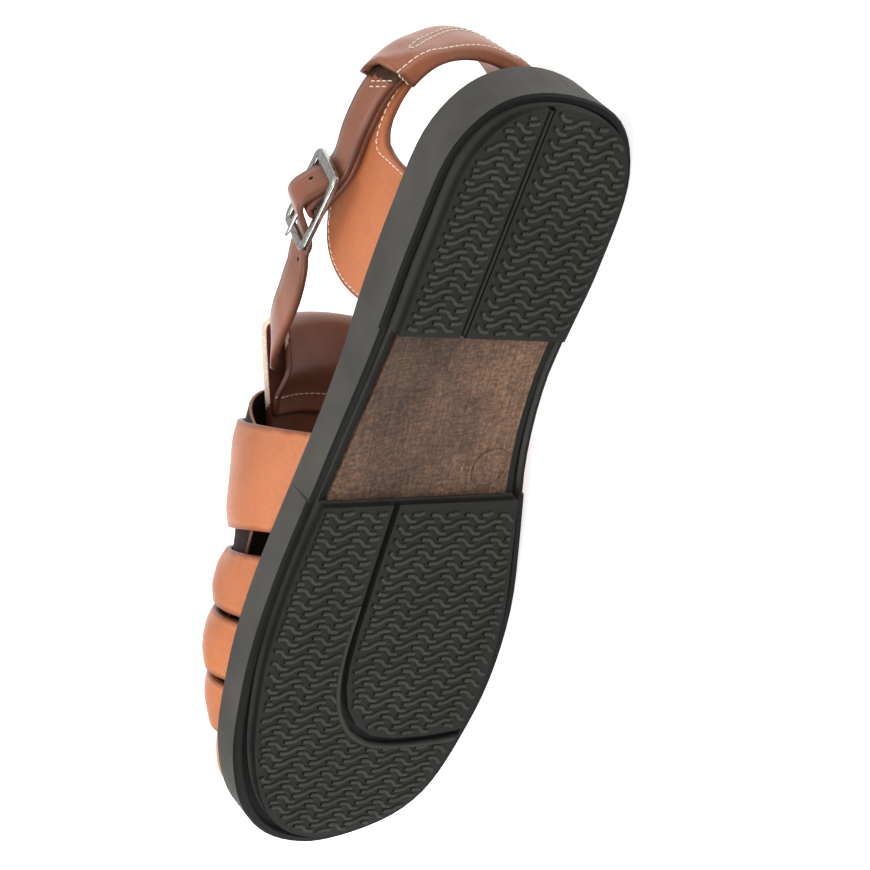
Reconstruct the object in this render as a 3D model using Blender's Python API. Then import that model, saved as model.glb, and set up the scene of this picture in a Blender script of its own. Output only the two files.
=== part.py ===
"""Fisherman sandal, left shoe, lying on its medial side.

The shoe is worked out in millimetres in its own frame: x runs across to the medial
side, y runs from heel to toe and z runs up from the plane that the tread stands on.
An empty then turns the finished pieces onto the medial side.
"""
import math

import bmesh
import bpy
import numpy as np
from mathutils import Matrix, Vector

MM = 0.001

# How the shoe lies: turns in degrees, then a shift in metres that sets it on the floor.
LIE_ROLL = -5.21
LIE_PITCH = 8.262
LIE_SHIFT = (0.148492, -0.04164, 0.033749)

# Sole heights above the tread plane.
TOE_SPRING_START = 195.0
TOE_SPRING_RISE = 0.00076
HEEL_BREAST = 90.2
FOREPART_BREAST_LATERAL = 153.0
FOREPART_BREAST_MEDIAL = 149.8
GROOVE_DEPTH = 2.1
RIM_WIDTH = 3.0
WAIST_UNDERCUT = 0.9
WAIST_BOARD_THICK = 1.2
PIECE_GAP = 0.35

# Leather.
WALL = 2.0
STRAP_THICK = 1.9
STRAP_SPACING = 2.9
STRAP_WIDTH = 13.2
CORNER_FULLNESS = 1.3
BAND_THICK = 1.7
MARGIN_WIDTH = 11.0
WALL_INSET = 4.3
INSOLE_INSET = 6.0
INSOLE_THICK = 2.8

SOLE_STATIONS = 58

# Outer edge of the sole at the bottom of its wall, heel back to toe and back again.
SOLE_OUTLINE = (
    # place, across, along, top edge inset, tread edge inset
    ("heel back", -4.0, 5.4, -1.2, 2.8),
    ("heel corner lateral", -25.6, 10.0, 0.4, 3.8),
    ("heel side lateral", -38.1, 25.6, 1.5, 4.8),
    ("heel lateral", -40.8, 58.0, 1.8, 5.2),
    ("waist lateral", -40.4, 95.0, 2.0, 5.0),
    ("arch lateral", -42.3, 138.0, 1.6, 4.6),
    ("ball lateral", -44.1, 184.0, 1.3, 4.4),
    ("forepart lateral", -42.5, 209.0, 1.2, 4.6),
    ("small toe", -38.6, 229.0, 1.2, 5.2),
    ("toe lateral", -31.8, 250.6, 1.0, 6.0),
    ("toe corner lateral", -20.5, 270.4, 0.8, 6.2),
    ("toe shoulder lateral", -9.2, 282.4, 0.6, 5.8),
    ("toe front lateral", 3.5, 290.0, 0.4, 5.2),
    ("toe tip", 20.5, 293.6, 0.4, 5.0),
    ("toe front medial", 39.0, 289.7, 0.6, 5.0),
    ("toe shoulder medial", 53.4, 281.8, 0.8, 5.2),
    ("big toe", 61.1, 270.6, 1.0, 5.4),
    ("joint front", 65.3, 243.0, 1.2, 5.6),
    ("ball medial", 65.7, 224.0, 1.3, 5.6),
    ("ball back", 61.7, 194.8, 1.4, 5.6),
    ("forepart back", 52.1, 164.0, 1.6, 5.6),
    ("arch medial", 42.5, 134.8, 1.8, 5.0),
    ("waist medial", 37.9, 104.0, 2.0, 4.6),
    ("heel medial", 40.4, 66.0, 1.8, 5.2),
    ("heel side medial", 37.5, 31.0, 1.5, 4.8),
    ("heel corner medial", 24.0, 12.3, 0.4, 3.8),
)

# Heights of the sole unit along its length.
SOLE_PROFILE = (
    # along, wall top, rim underside, waist floor
    (0.0, 21.0, 4.1, 4.4),
    (84.0, 21.0, 4.1, 4.4),
    (104.0, 18.6, 4.0, 4.4),
    (128.0, 16.5, 3.8, 4.3),
    (152.0, 15.7, 3.4, 4.2),
    (190.0, 15.2, 2.9, 4.0),
    (300.0, 15.4, 2.9, 4.0),
)

# Flow grooves in the tread, as middle lines.
HEEL_GROOVE = ((-9.4, 2.0), (-9.4, 96.0))
FOREPART_GROOVE = (
    (-9.6, 145.0), (-7.3, 176.0), (-5.2, 202.0), (-3.4, 214.0), (-0.4, 224.0), (4.2, 232.6),
    (11.0, 240.0), (20.0, 244.9), (30.5, 246.6), (45.0, 246.0), (58.0, 244.1), (70.0, 239.5),
)
GROOVE_WIDTH = 2.6
GROOVE_SINK = 1.8

# The vamp's cut lines, each one running from the sole over the ridge to the sole.
VAMP_LINES = (
    # line, lateral, ridge, medial, rounding at the toe, fullness, lateral bulge,
    # and whether it is covered up to the next line
    ("rear band back", 136.0, 167.0, 133.0, 0.0, 2.5, 1.4, True),
    ("rear band front", 172.5, 198.0, 170.0, 0.0, 2.5, 2.0, False),
    ("second band back", 182.0, 204.0, 180.0, 0.05, 2.5, 0.8, True),
    ("second band front", 205.0, 219.0, 203.0, 0.1, 2.5, 2.4, False),
    ("third band back", 207.5, 221.5, 206.0, 0.1, 2.5, 1.6, True),
    ("third band front", 230.0, 237.0, 228.0, 0.3, 2.4, 4.2, False),
    ("fourth band back", 233.0, 240.0, 232.0, 0.35, 2.4, 2.0, True),
    ("fourth band front", 253.0, 250.0, 252.0, 0.7, 2.3, 2.2, False),
    ("toe band back", 257.5, 253.5, 259.0, 0.8, 2.15, -1.8, True),
    ("toe band middle", 274.0, 257.5, 275.0, 1.0, 2.2, 2.4, True),
    ("toe tip", 289.0, 259.0, 289.0, 1.0, 2.2, 0.6, True),
)
BULGE_LOW = 0.75
VAMP_COLUMNS = (6, 2, 4, 2, 4, 2, 3, 2, 4, 6)

VAMP_RIDGE = (
    # along, across, height
    (167.0, 1.0, 81.0),
    (185.0, 4.0, 69.5),
    (204.0, 7.0, 59.5),
    (222.0, 10.0, 55.0),
    (238.0, 12.0, 50.5),
    (252.0, 14.0, 46.0),
    (262.0, 15.0, 43.5),
)
RIDGE_STRIP_HALF = 12.0
SIDE_ROWS = 7
STRIP_ROWS = 3

# Lines of the quarters, from the sole up, the same on both sides of the foot.
QUARTER_LINES = (
    # line, foot along, middle along, middle height, top along, top height, side covered
    ("front edge", 89.5, 90.0, 32.0, 88.0, 41.5, True),
    ("front shoulder", 85.5, 85.5, 38.0, 84.6, 49.5, True),
    ("front", 77.0, 77.0, 41.0, 77.5, 54.5, True),
    ("crest", 66.0, 66.5, 42.0, 68.0, 57.0, True),
    ("middle", 55.0, 55.5, 42.5, 57.0, 56.5, True),
    ("rear", 49.0, 49.4, 41.4, 48.0, 57.5, True),
    ("rear edge", 43.6, 44.4, 40.6, 41.8, 58.2, False),
    ("rear turn", 36.0, 38.0, 44.2, 36.0, 59.0, False),
    ("band", 27.0, 25.0, 45.2, 26.0, 59.8, False),
)
QUARTER_COLUMNS = (2, 2, 3, 3, 2, 2, 2, 2)
HEEL_BACK_COLUMNS = 14
WAIST_COLUMNS = 4
QUARTER_LOW_ROWS = 3
QUARTER_HIGH_ROWS = 3

# How far the quarter leans in from the sole's edge, by height.
QUARTER_LEAN = (
    # height, beside the heel, lateral band line, medial band line, behind the heel
    (21.0, WALL_INSET, WALL_INSET, WALL_INSET, 4.0),
    (32.0, 5.0, 6.0, 6.4, 6.6),
    (42.0, 6.4, 8.2, 9.4, 9.2),
    (60.0, 9.8, 11.2, 14.6, 10.6),
)
LEAN_FROM = 62.0
HEEL_ARC = 84.0
BACK_RISE = 4.2
BACK_RISE_FULL = 45.0

# The instep strap, a wide tab folded under itself round the ankle strap.
INSTEP_STRAP = (
    # along, across, height at the middle, half width, crown
    (132.0, 2.2, 83.5, 22.6, 5.2),
    (143.0, 2.6, 78.0, 21.3, 5.1),
    (155.0, 3.0, 71.8, 19.5, 4.6),
    (168.0, 3.5, 68.2, 16.0, 3.6),
    (180.0, 4.0, 66.0, 13.0, 2.6),
    (190.0, 5.0, 62.6, 12.0, 2.2),
)
FOLD_RADIUS = 4.4
FLAP_END = 158.0
FLAP_CLOSES = 150.0
FLAP_SHUT = 2.6
INSTEP_COLUMNS = 16
INSTEP_ROWS = 8
FOLD_STEPS = 7

# Middle line of the ankle strap from the medial tunnel over the instep to the buckle.
ANKLE_STRAP_ROUTE = (
    # place, across, along, height, then the direction of the strap's upper edge
    ("medial quarter", 36.6, 66.0, 54.6, 0.05, -0.1, 1.0),
    ("medial ankle", 36.0, 88.0, 57.4, -0.1, -0.3, 1.0),
    ("medial climb", 33.5, 110.0, 61.0, -0.15, -0.35, 1.0),
    ("medial turn", 27.6, 130.0, 67.6, -0.15, -0.9, 0.65),
    ("sleeve medial", 17.5, 137.6, 73.2, -0.25, -1.0, 0.5),
    ("sleeve middle", 3.0, 139.8, 75.4, 0.0, -1.0, 0.46),
    ("sleeve lateral", -12.0, 137.6, 73.2, 0.25, -1.0, 0.5),
    ("lateral turn", -22.6, 133.0, 67.6, 0.15, -0.95, 0.65),
    ("lateral climb", -29.0, 120.5, 62.6, 0.05, -0.6, 0.85),
    ("lateral side", -33.6, 107.0, 57.4, 0.05, -0.4, 1.0),
    ("ahead of buckle", -37.0, 95.6, 54.6, 0.15, -0.2, 1.0),
)

# Path of the free end past the buckle, in the buckle's own directions.
BUCKLE_ROUTE = (
    # place, along the buckle, outward
    ("ahead of front bar", 18.0, -3.6),
    ("under front bar", 13.0, -3.5),
    ("rise", 6.2, 1.6),
    ("over the post", 0.0, 5.9),
    ("fall", -6.6, 1.8),
    ("under rear bar", -13.0, -3.5),
    ("behind rear bar", -18.0, -3.6),
)
ANCHOR_ROUTE = (
    ("behind rear bar", -18.0, -5.9),
    ("under rear bar", -13.0, -5.8),
    ("behind the post", -4.5, -3.6),
)
ANCHOR_RETURN = 6.5
SIDE_PLACES = (33.0, 44.0)
FREE_END_SHARE = 0.085
HEEL_STRAP_HEIGHT = 52.5
TUNNEL_FIRST = 2.35
TUNNEL_SECOND = 4.65

# Outer leather of the heel band, a channel that closes over the strap.
BAND_LOW = 43.4
BAND_TOP = 61.6
BAND_REACH = 4.6
BAND_REACH_LATERAL = 7.2
BAND_SECTIONS = 26
MOUTH_FLARE = 1.2
MOUTH_FLARE_SHARE = 0.14
MOUTH_SLANT_LOW = -0.05
MOUTH_SLANT_TOP = 0.13

# Buckle, its plane facing sideways.
BUCKLE_CENTRE = (-40.6, 72.0, 55.2)
BUCKLE_LONG = 29.0
BUCKLE_WIDE = 20.8
BUCKLE_CORNER = 4.0
BUCKLE_TURN = 7.5
BUCKLE_LEAN = 15.0
BAR_RADIUS = 1.45
POST_RADIUS = 1.15
PRONG_RADIUS = 0.8
PRONG_REACH = 15.2
PRONG_WRAP = 275.0
SLOT_REACH = 3.75
BAR_SIDES = 8

MATERIALS = {
    # finish: colour, roughness, metallic
    "rubber": ((0.055, 0.053, 0.047), 0.62, 0.0),
    "waist": ((0.19, 0.12, 0.07), 0.7, 0.0),
    "leather": ((0.58, 0.24, 0.11), 0.42, 0.0),
    "lining": ((0.30, 0.17, 0.10), 0.6, 0.0),
    "nickel": ((0.62, 0.61, 0.58), 0.3, 1.0),
}


def column(table, index):
    """One column of a table as an array."""
    return np.array([row[index] for row in table], dtype=float)


def smooth(xs, ys):
    """A function through the table's points with even slopes between them."""
    xs = np.asarray(xs, dtype=float)
    ys = np.asarray(ys, dtype=float)
    steps = np.diff(ys) / np.diff(xs)
    slopes = np.concatenate(([steps[0]], (steps[1:] + steps[:-1]) / 2.0, [steps[-1]]))
    turning = np.concatenate(([False], steps[1:] * steps[:-1] <= 0.0, [False]))
    slopes[turning] = 0.0

    def value(x):
        x = np.clip(x, xs[0], xs[-1])
        k = np.clip(np.searchsorted(xs, x) - 1, 0, len(xs) - 2)
        run = xs[k + 1] - xs[k]
        t = (x - xs[k]) / run
        first = (1 + 2 * t) * (1 - t) ** 2 * ys[k] + t * (1 - t) ** 2 * run * slopes[k]
        second = t * t * (3 - 2 * t) * ys[k + 1] + t * t * (t - 1) * run * slopes[k + 1]
        return first + second

    return value


def closed_curve(points, samples_per_span=16):
    """A closed curve through rows of numbers, sampled evenly in each span."""
    points = np.asarray(points, dtype=float)
    count = len(points)
    chords = np.linalg.norm(np.diff(points[:, :2], axis=0, append=points[:1, :2]), axis=1) ** 0.5
    out = []
    for i in range(count):
        before, here, after, later = (points[(i + k) % count] for k in (-1, 0, 1, 2))
        d0, d1, d2 = (chords[(i + k) % count] for k in (-1, 0, 1))
        slope_here = ((here - before) / d0 - (after - before) / (d0 + d1) + (after - here) / d1) * d1
        slope_after = ((after - here) / d1 - (later - here) / (d1 + d2) + (later - after) / d2) * d1
        for s in range(samples_per_span):
            t = s / samples_per_span
            out.append((2 * t ** 3 - 3 * t * t + 1) * here + (t ** 3 - 2 * t * t + t) * slope_here
                       + (3 * t * t - 2 * t ** 3) * after + (t ** 3 - t * t) * slope_after)
    return np.array(out)


OUTLINE = closed_curve([row[1:] for row in SOLE_OUTLINE])
TANGENT = np.roll(OUTLINE[:, :2], -1, axis=0) - np.roll(OUTLINE[:, :2], 1, axis=0)
TANGENT /= np.linalg.norm(TANGENT, axis=1)[:, None]
INWARD = np.stack((TANGENT[:, 1], -TANGENT[:, 0]), axis=1)

wall_top = smooth(column(SOLE_PROFILE, 0), column(SOLE_PROFILE, 1))
rim_under = smooth(column(SOLE_PROFILE, 0), column(SOLE_PROFILE, 2))
waist_floor = smooth(column(SOLE_PROFILE, 0), column(SOLE_PROFILE, 3))


def spring(y):
    """Rise of the toe above the tread plane."""
    return TOE_SPRING_RISE * np.maximum(np.asarray(y) - TOE_SPRING_START, 0.0) ** 2


def deck(y):
    """Height of the sole unit's upper face."""
    return wall_top(y) + spring(y)


def outline_inset(inset, top=0.0, tread=0.0):
    """The sole's outline moved inwards, by shares of its top and tread insets too."""
    distance = inset + top * OUTLINE[:, 2] + tread * OUTLINE[:, 3]
    return OUTLINE[:, :2] + INWARD * distance[:, None]


def sides(loop):
    """Split a loop into its lateral and medial sides, each running heel to toe."""
    back = int(np.argmin(loop[:, 1]))
    rolled = np.roll(loop, -back, axis=0)
    front = int(np.argmax(rolled[:, 1]))
    lateral = rolled[:front + 1]
    medial = np.vstack((rolled[front:], rolled[:1]))[::-1]
    return lateral, medial


def across(side, y):
    """Across position of one side of a loop at a station."""
    order = np.argsort(side[:, 1], kind="stable")
    return np.interp(y, side[order, 1], side[order, 0])


def stations(loop, count=SOLE_STATIONS):
    """Paired stations of a loop, closer together at heel and toe, set on the breasts."""
    low = loop[:, 1].min()
    high = loop[:, 1].max()
    share = (1 - np.cos(np.pi * np.arange(count + 1) / count)) / 2
    lateral = low + (high - low) * share
    medial = lateral.copy()
    heel_at, fore_at = breast_indices(count)
    for pair, place_lateral, place_medial in (
            (heel_at, HEEL_BREAST, HEEL_BREAST),
            (fore_at, FOREPART_BREAST_LATERAL, FOREPART_BREAST_MEDIAL)):
        lateral[pair] = place_lateral - 0.12
        lateral[pair + 1] = place_lateral + 0.12
        medial[pair] = place_medial - 0.12
        medial[pair + 1] = place_medial + 0.12
    return lateral, medial


def breast_indices(count=SOLE_STATIONS):
    """Station numbers just behind the heel breast and the forepart's breast."""
    reach = OUTLINE[:, 1]
    share = (1 - np.cos(np.pi * np.arange(count + 1) / count)) / 2
    along = reach.min() + (reach.max() - reach.min()) * share
    heel_at = int(np.argmin(abs(along - HEEL_BREAST)))
    fore_at = int(np.argmin(abs(along - FOREPART_BREAST_LATERAL)))
    return heel_at, fore_at


def ring(loop, height, count=SOLE_STATIONS):
    """A ring of points round a loop; height is a function of station and zone."""
    lateral_side, medial_side = sides(loop)
    lateral_y, medial_y = stations(loop, count)
    heel_at, fore_at = breast_indices(count)
    zone = np.where(np.arange(count + 1) <= heel_at, 0, np.where(np.arange(count + 1) <= fore_at, 1, 2))
    lateral = np.stack((across(lateral_side, lateral_y), lateral_y, height(lateral_y, zone)), axis=1)
    medial = np.stack((across(medial_side, medial_y), medial_y, height(medial_y, zone)), axis=1)
    return np.vstack((lateral, medial[1:-1][::-1]))


def zone_ring(loops, height, count=SOLE_STATIONS):
    """A ring whose heel, waist and forepart come from three loops."""
    rings = [ring(loop, height, count) for loop in loops]
    heel_at, fore_at = breast_indices(count)
    out = rings[0].copy()
    for k in range(len(out)):
        station = k if k <= count else 2 * count - k
        out[k] = rings[0 if station <= heel_at else 1 if station <= fore_at else 2][k]
    return out


class Shell:
    """Collects vertices and faces of one closed body."""

    def __init__(self):
        self.points = []
        self.faces = []

    def add_points(self, points):
        start = len(self.points)
        self.points.extend([tuple(float(c) for c in p) for p in points])
        return list(range(start, start + len(points)))

    def bridge(self, first, second, closed=True):
        count = len(first)
        for k in range(count if closed else count - 1):
            n = (k + 1) % count
            self.faces.append((first[k], first[n], second[n], second[k]))

    def ruled_cap(self, ring_ids, flip=False):
        """Close a paired ring with strips from its lateral to its medial side."""
        half = len(ring_ids) // 2
        for k in range(half):
            a, b = ring_ids[k], ring_ids[k + 1]
            c = ring_ids[(2 * half - k - 1) % (2 * half)]
            d = ring_ids[(2 * half - k) % (2 * half)]
            face = tuple(dict.fromkeys((a, b, c, d)))
            self.faces.append(face[::-1] if flip else face)

    def make(self, name, finish):
        mesh = bpy.data.meshes.new(name)
        mesh.from_pydata([Vector(p) * MM for p in self.points], [], self.faces)
        return finish_mesh(name, mesh, finish)


def finish_mesh(name, mesh, finish):
    """Turn faces outwards, triangulate, smooth and give the mesh its finish."""
    work = bmesh.new()
    work.from_mesh(mesh)
    bmesh.ops.remove_doubles(work, verts=work.verts, dist=1e-6)
    bmesh.ops.dissolve_degenerate(work, edges=work.edges, dist=1e-7)
    bmesh.ops.triangulate(work, faces=work.faces)
    bmesh.ops.recalc_face_normals(work, faces=work.faces)
    if work.calc_volume(signed=True) < 0:
        bmesh.ops.reverse_faces(work, faces=work.faces)
    work.to_mesh(mesh)
    work.free()
    mesh.shade_smooth()
    mesh.set_sharp_from_angle(angle=math.radians(35))
    mesh.materials.append(material(finish))
    item = bpy.data.objects.new(name, mesh)
    bpy.context.scene.collection.objects.link(item)
    return item


def material(finish):
    """A Principled material with the finish's colour, roughness and metallic value."""
    made = bpy.data.materials.get(finish)
    if made:
        return made
    colour, roughness, metallic = MATERIALS[finish]
    made = bpy.data.materials.new(finish)
    made.use_nodes = True
    shader = made.node_tree.nodes["Principled BSDF"]
    shader.inputs["Base Color"].default_value = (*colour, 1.0)
    shader.inputs["Roughness"].default_value = roughness
    shader.inputs["Metallic"].default_value = metallic
    made.diffuse_color = (*colour, 1.0)
    return made


def cut(target, cutter):
    """Cut one object out of another and drop the cutter."""
    modifier = target.modifiers.new("cut", "BOOLEAN")
    modifier.operation = "DIFFERENCE"
    modifier.solver = "EXACT"
    modifier.object = cutter
    graph = bpy.context.evaluated_depsgraph_get()
    carved = bpy.data.meshes.new_from_object(target.evaluated_get(graph))
    target.modifiers.clear()
    target.data = carved
    bpy.data.objects.remove(cutter)


def build_outsole():
    """Moulded rubber unit: wall, rim, groove, heel and forepart treads, sunk waist."""
    shell = Shell()

    def top(y, zone):
        return deck(y)

    def rim(y, zone):
        return rim_under(y) + spring(y)

    def edge(y, zone):
        return rim(y, zone) + 1.0

    def groove(y, zone):
        return rim(y, zone) + GROOVE_DEPTH

    def tread(y, zone):
        return np.where(zone == 1, waist_floor(y), spring(y))

    def floor(y, zone):
        return np.where(zone == 1, waist_floor(y) + 1.0, spring(y))

    top_loop = outline_inset(0.0, top=1.0)
    steps = [
        ring(top_loop, top),
        zone_ring((outline_inset(0.0), outline_inset(WAIST_UNDERCUT), outline_inset(0.0)), edge),
        zone_ring((outline_inset(0.7), outline_inset(WAIST_UNDERCUT + 0.5), outline_inset(0.7)), rim),
        ring(outline_inset(RIM_WIDTH - 0.9, tread=0.1), rim),
        ring(outline_inset(RIM_WIDTH - 0.7, tread=0.1), groove),
        ring(outline_inset(-0.1, tread=1.0), groove),
        ring(outline_inset(0.0, tread=1.0), tread),
        ring(outline_inset(2.2, tread=1.0), tread),
        ring(outline_inset(2.4, tread=1.0), floor),
    ]
    ids = [shell.add_points(step) for step in steps]
    shell.ruled_cap(ids[0])
    for first, second in zip(ids, ids[1:]):
        shell.bridge(first, second)
    shell.ruled_cap(ids[-1], flip=True)
    outsole = shell.make("outsole", "rubber")
    cut(outsole, groove_cutter("heel groove", HEEL_GROOVE))
    cut(outsole, groove_cutter("forepart groove", FOREPART_GROOVE))
    return outsole


def groove_cutter(name, line):
    """A ribbon that follows the tread along a line and cuts a flow groove into it."""
    shell = Shell()
    line = np.array(line, dtype=float)
    run = np.gradient(line, axis=0)
    run /= np.linalg.norm(run, axis=1)[:, None]
    normal = np.stack((run[:, 1], -run[:, 0]), axis=1) * GROOVE_WIDTH / 2
    ring_ids = []
    for side, height in ((-1, -5.0), (1, -5.0), (1, GROOVE_SINK), (-1, GROOVE_SINK)):
        place = line + side * normal
        lift = spring(line[:, 1]) + height
        ring_ids.append(shell.add_points(np.column_stack((place, lift))))
    for first, second in zip(ring_ids, ring_ids[1:] + ring_ids[:1]):
        shell.bridge(first, second, closed=False)
    shell.faces.append(tuple(ids[0] for ids in ring_ids))
    shell.faces.append(tuple(ids[-1] for ids in ring_ids)[::-1])
    return shell.make(name, "rubber")


def build_waist_board():
    """Thin board let into the sunk waist."""
    shell = Shell()
    lateral_side, medial_side = sides(outline_inset(2.8, tread=1.0))
    rows = 9
    gap = PIECE_GAP + 0.15
    share = np.linspace(0.0, 1.0, rows)
    lateral_y = HEEL_BREAST + gap + share * (FOREPART_BREAST_LATERAL - HEEL_BREAST - 2 * gap)
    medial_y = HEEL_BREAST + gap + share * (FOREPART_BREAST_MEDIAL - HEEL_BREAST - 2 * gap)
    loop_y = np.concatenate((lateral_y, medial_y[::-1]))
    loop_x = np.concatenate((across(lateral_side, lateral_y), across(medial_side, medial_y)[::-1]))
    upper = np.column_stack((loop_x, loop_y, waist_floor(loop_y) + 1.0 - PIECE_GAP))
    lower = upper - np.array((0.0, 0.0, WAIST_BOARD_THICK))
    top_ids = shell.add_points(upper)
    low_ids = shell.add_points(lower)
    shell.bridge(top_ids, low_ids)
    for ids, flip in ((top_ids, False), (low_ids, True)):
        for k in range(rows - 1):
            face = (ids[k], ids[k + 1], ids[2 * rows - 2 - k], ids[2 * rows - 1 - k])
            shell.faces.append(face[::-1] if flip else face)
    return shell.make("waist_board", "waist")


def build_insole():
    """Footbed that lies on the upper's turned-in margin."""
    shell = Shell()
    lift = WALL + 2 * PIECE_GAP

    def under(y, zone):
        return deck(y) + lift

    def shoulder(y, zone):
        return deck(y) + lift + INSOLE_THICK - 0.7

    def face(y, zone):
        return deck(y) + lift + INSOLE_THICK

    count = 40
    ids = [shell.add_points(ring(outline_inset(INSOLE_INSET, top=1.0), under, count)),
           shell.add_points(ring(outline_inset(INSOLE_INSET, top=1.0), shoulder, count)),
           shell.add_points(ring(outline_inset(INSOLE_INSET + 0.8, top=1.0), face, count))]
    shell.ruled_cap(ids[0], flip=True)
    for first, second in zip(ids, ids[1:]):
        shell.bridge(second, first)
    shell.ruled_cap(ids[-1])
    return shell.make("insole", "lining")


def superellipse(angle, fullness):
    """Share of the way in and up at a direction angle on a rounded shoulder."""
    c = np.cos(angle)
    s = np.sin(angle)
    reach = (np.abs(c) ** fullness + np.abs(s) ** fullness) ** (-1.0 / fullness)
    return 1.0 - reach * c, reach * s


ridge_across = smooth(column(VAMP_RIDGE, 0), column(VAMP_RIDGE, 1))
ridge_height = smooth(column(VAMP_RIDGE, 0), column(VAMP_RIDGE, 2))
WALL_LOOP = outline_inset(WALL_INSET)
WALL_SIDES = sides(WALL_LOOP)
WALL_TIP = WALL_LOOP[np.argmax(WALL_LOOP[:, 1])]


def margin_height(y):
    """Middle of the turned-in margin's thickness."""
    return deck(y) + PIECE_GAP + WALL / 2


def vamp_column(line, side):
    """Points of one cut line from the sole to the ridge; side is 0 lateral, 1 medial."""
    foot_y = line[2 * side]
    ridge_y, rounding, fullness = line[1], line[3], line[4]
    foot_x = across(WALL_SIDES[side], foot_y)
    foot = np.array((foot_x, foot_y, margin_height(foot_y)))
    peak = np.array((ridge_across(ridge_y), ridge_y, ridge_height(ridge_y)))
    span = np.hypot(peak[0] - foot[0], rounding * (peak[1] - foot[1]))
    share = min(RIDGE_STRIP_HALF / span, 0.9)
    strip = math.atan2((1 - share ** fullness) ** (1 / fullness), share)
    angles = np.concatenate((np.linspace(0.0, strip, SIDE_ROWS + 1)[1:],
                             np.linspace(strip, math.pi / 2, STRIP_ROWS + 1)[1:]))
    inward, upward = superellipse(angles, fullness)
    forward = (1 - rounding) * upward + rounding * inward
    bulge = (line[5] if side == 0 else 0.0) * np.sin(math.pi * upward ** BULGE_LOW)
    aside = -inward_at(foot)
    return np.column_stack((foot[0] + inward * (peak[0] - foot[0]) + bulge * aside[0],
                            foot[1] + forward * (peak[1] - foot[1]) + bulge * aside[1],
                            foot[2] + upward * (peak[2] - foot[2])))


def vamp_lines():
    """Every column of the vamp from its table, with its cover to the next column."""
    rows = []
    cover = []
    for k, count in enumerate(VAMP_COLUMNS):
        first = np.array(VAMP_LINES[k][1:7], dtype=float)
        last = np.array(VAMP_LINES[k + 1][1:7], dtype=float)
        for step in range(count):
            share = step / count
            if k == len(VAMP_COLUMNS) - 1:
                share = math.sin(share * math.pi / 2)
            rows.append(first + (last - first) * share)
            cover.append(VAMP_LINES[k][7])
    rows.append(np.array(VAMP_LINES[-1][1:7], dtype=float))
    return rows, cover


def margin_points(foot, inward):
    """The turned-in margin's inner edge and middle, at the foot of a wall column."""
    points = []
    for share in (1.0, 0.5):
        place = foot[:2] + inward * MARGIN_WIDTH * share
        points.append((place[0], place[1], margin_height(place[1])))
    points.append((foot[0], foot[1], margin_height(foot[1])))
    return points


def inward_at(point):
    """Inward direction of the sole's outline nearest a point."""
    nearest = int(np.argmin(np.linalg.norm(WALL_LOOP - np.asarray(point)[:2], axis=1)))
    return INWARD[nearest]


class Wall:
    """The upper's grid of middle-surface points, made into a closed wall.

    The vamp's columns come first. Spans are the first and last columns of the vamp and
    of the rear part, which take their normals apart.
    """

    def __init__(self, points, covered, thick, ridge, spans, rear_rows):
        self.points = np.asarray(points, dtype=float)
        self.covered = covered
        self.thick = thick
        self.ridge = ridge
        self.spans = spans
        self.rear_rows = rear_rows

    def normals(self):
        """Unit normals of the grid by differences between its neighbours."""
        p = self.points
        count = self.spans[0][1] + 1
        along = np.roll(p, -1, axis=0) - np.roll(p, 1, axis=0)
        for first, last in self.spans:
            along[first, 2:] = p[first + 1, 2:] - p[first, 2:]
            along[last, 2:] = p[last, 2:] - p[last - 1, 2:]
        up = np.gradient(p, axis=1)
        up[:count, -1] = p[self.ridge[:count], -2] - p[:count, -2]
        tip = count // 2
        up[tip, -1] = p[tip, -1] - p[tip, -2]
        along[tip, -1] = along[tip, -2]
        top = self.rear_rows - 1
        up[count:, top] = p[count:, top] - p[count:, top - 1]
        up[count:, top + 1:] = up[count:, top][:, None, :]
        along[count:, top + 1:] = along[count:, top][:, None, :]
        normal = np.cross(along, up)
        length = np.linalg.norm(normal, axis=2)
        return normal / np.maximum(length, 1e-9)[:, :, None]

    def build(self, name, finish, corner_row):
        """Both skins, joined along every open edge; the corner row is a little thicker."""
        shell = Shell()
        normal = self.normals()
        reach = np.full(self.points.shape[:2], self.thick / 2)
        reach[:, corner_row] *= CORNER_FULLNESS
        outer = self.points + normal * reach[:, :, None]
        inner = self.points - normal * reach[:, :, None]
        columns, rows = self.points.shape[:2]
        outer_ids = np.array(shell.add_points(outer.reshape(-1, 3))).reshape(columns, rows)
        inner_ids = np.array(shell.add_points(inner.reshape(-1, 3))).reshape(columns, rows)
        for k in range(1, columns):
            joined = min(self.ridge[k], k - 1) if self.ridge[k] <= k else k
            outer_ids[k, -1] = outer_ids[joined, -1]
            inner_ids[k, -1] = inner_ids[joined, -1]
        edges = {}
        for i in range(columns):
            n = (i + 1) % columns
            for r in range(rows - 1):
                if not self.covered(i, r):
                    continue
                quad = ((i, r), (n, r), (n, r + 1), (i, r + 1))
                out_face = [outer_ids[c] for c in quad]
                in_face = [inner_ids[c] for c in quad][::-1]
                shell.faces.append(tuple(dict.fromkeys(out_face)))
                shell.faces.append(tuple(dict.fromkeys(in_face)))
                for a, b in zip(quad, quad[1:] + quad[:1]):
                    key = frozenset((outer_ids[a], outer_ids[b]))
                    if len(key) < 2:
                        continue
                    edges.setdefault(key, []).append((a, b))
        for uses in edges.values():
            if len(uses) == 1:
                a, b = uses[0]
                shell.faces.append((outer_ids[b], outer_ids[a], inner_ids[a], inner_ids[b]))
        used = sorted({v for face in shell.faces for v in face})
        renumber = {old: new for new, old in enumerate(used)}
        shell.points = [shell.points[old] for old in used]
        shell.faces = [tuple(renumber[v] for v in face) for face in shell.faces]
        return shell.make(name, finish)


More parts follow.
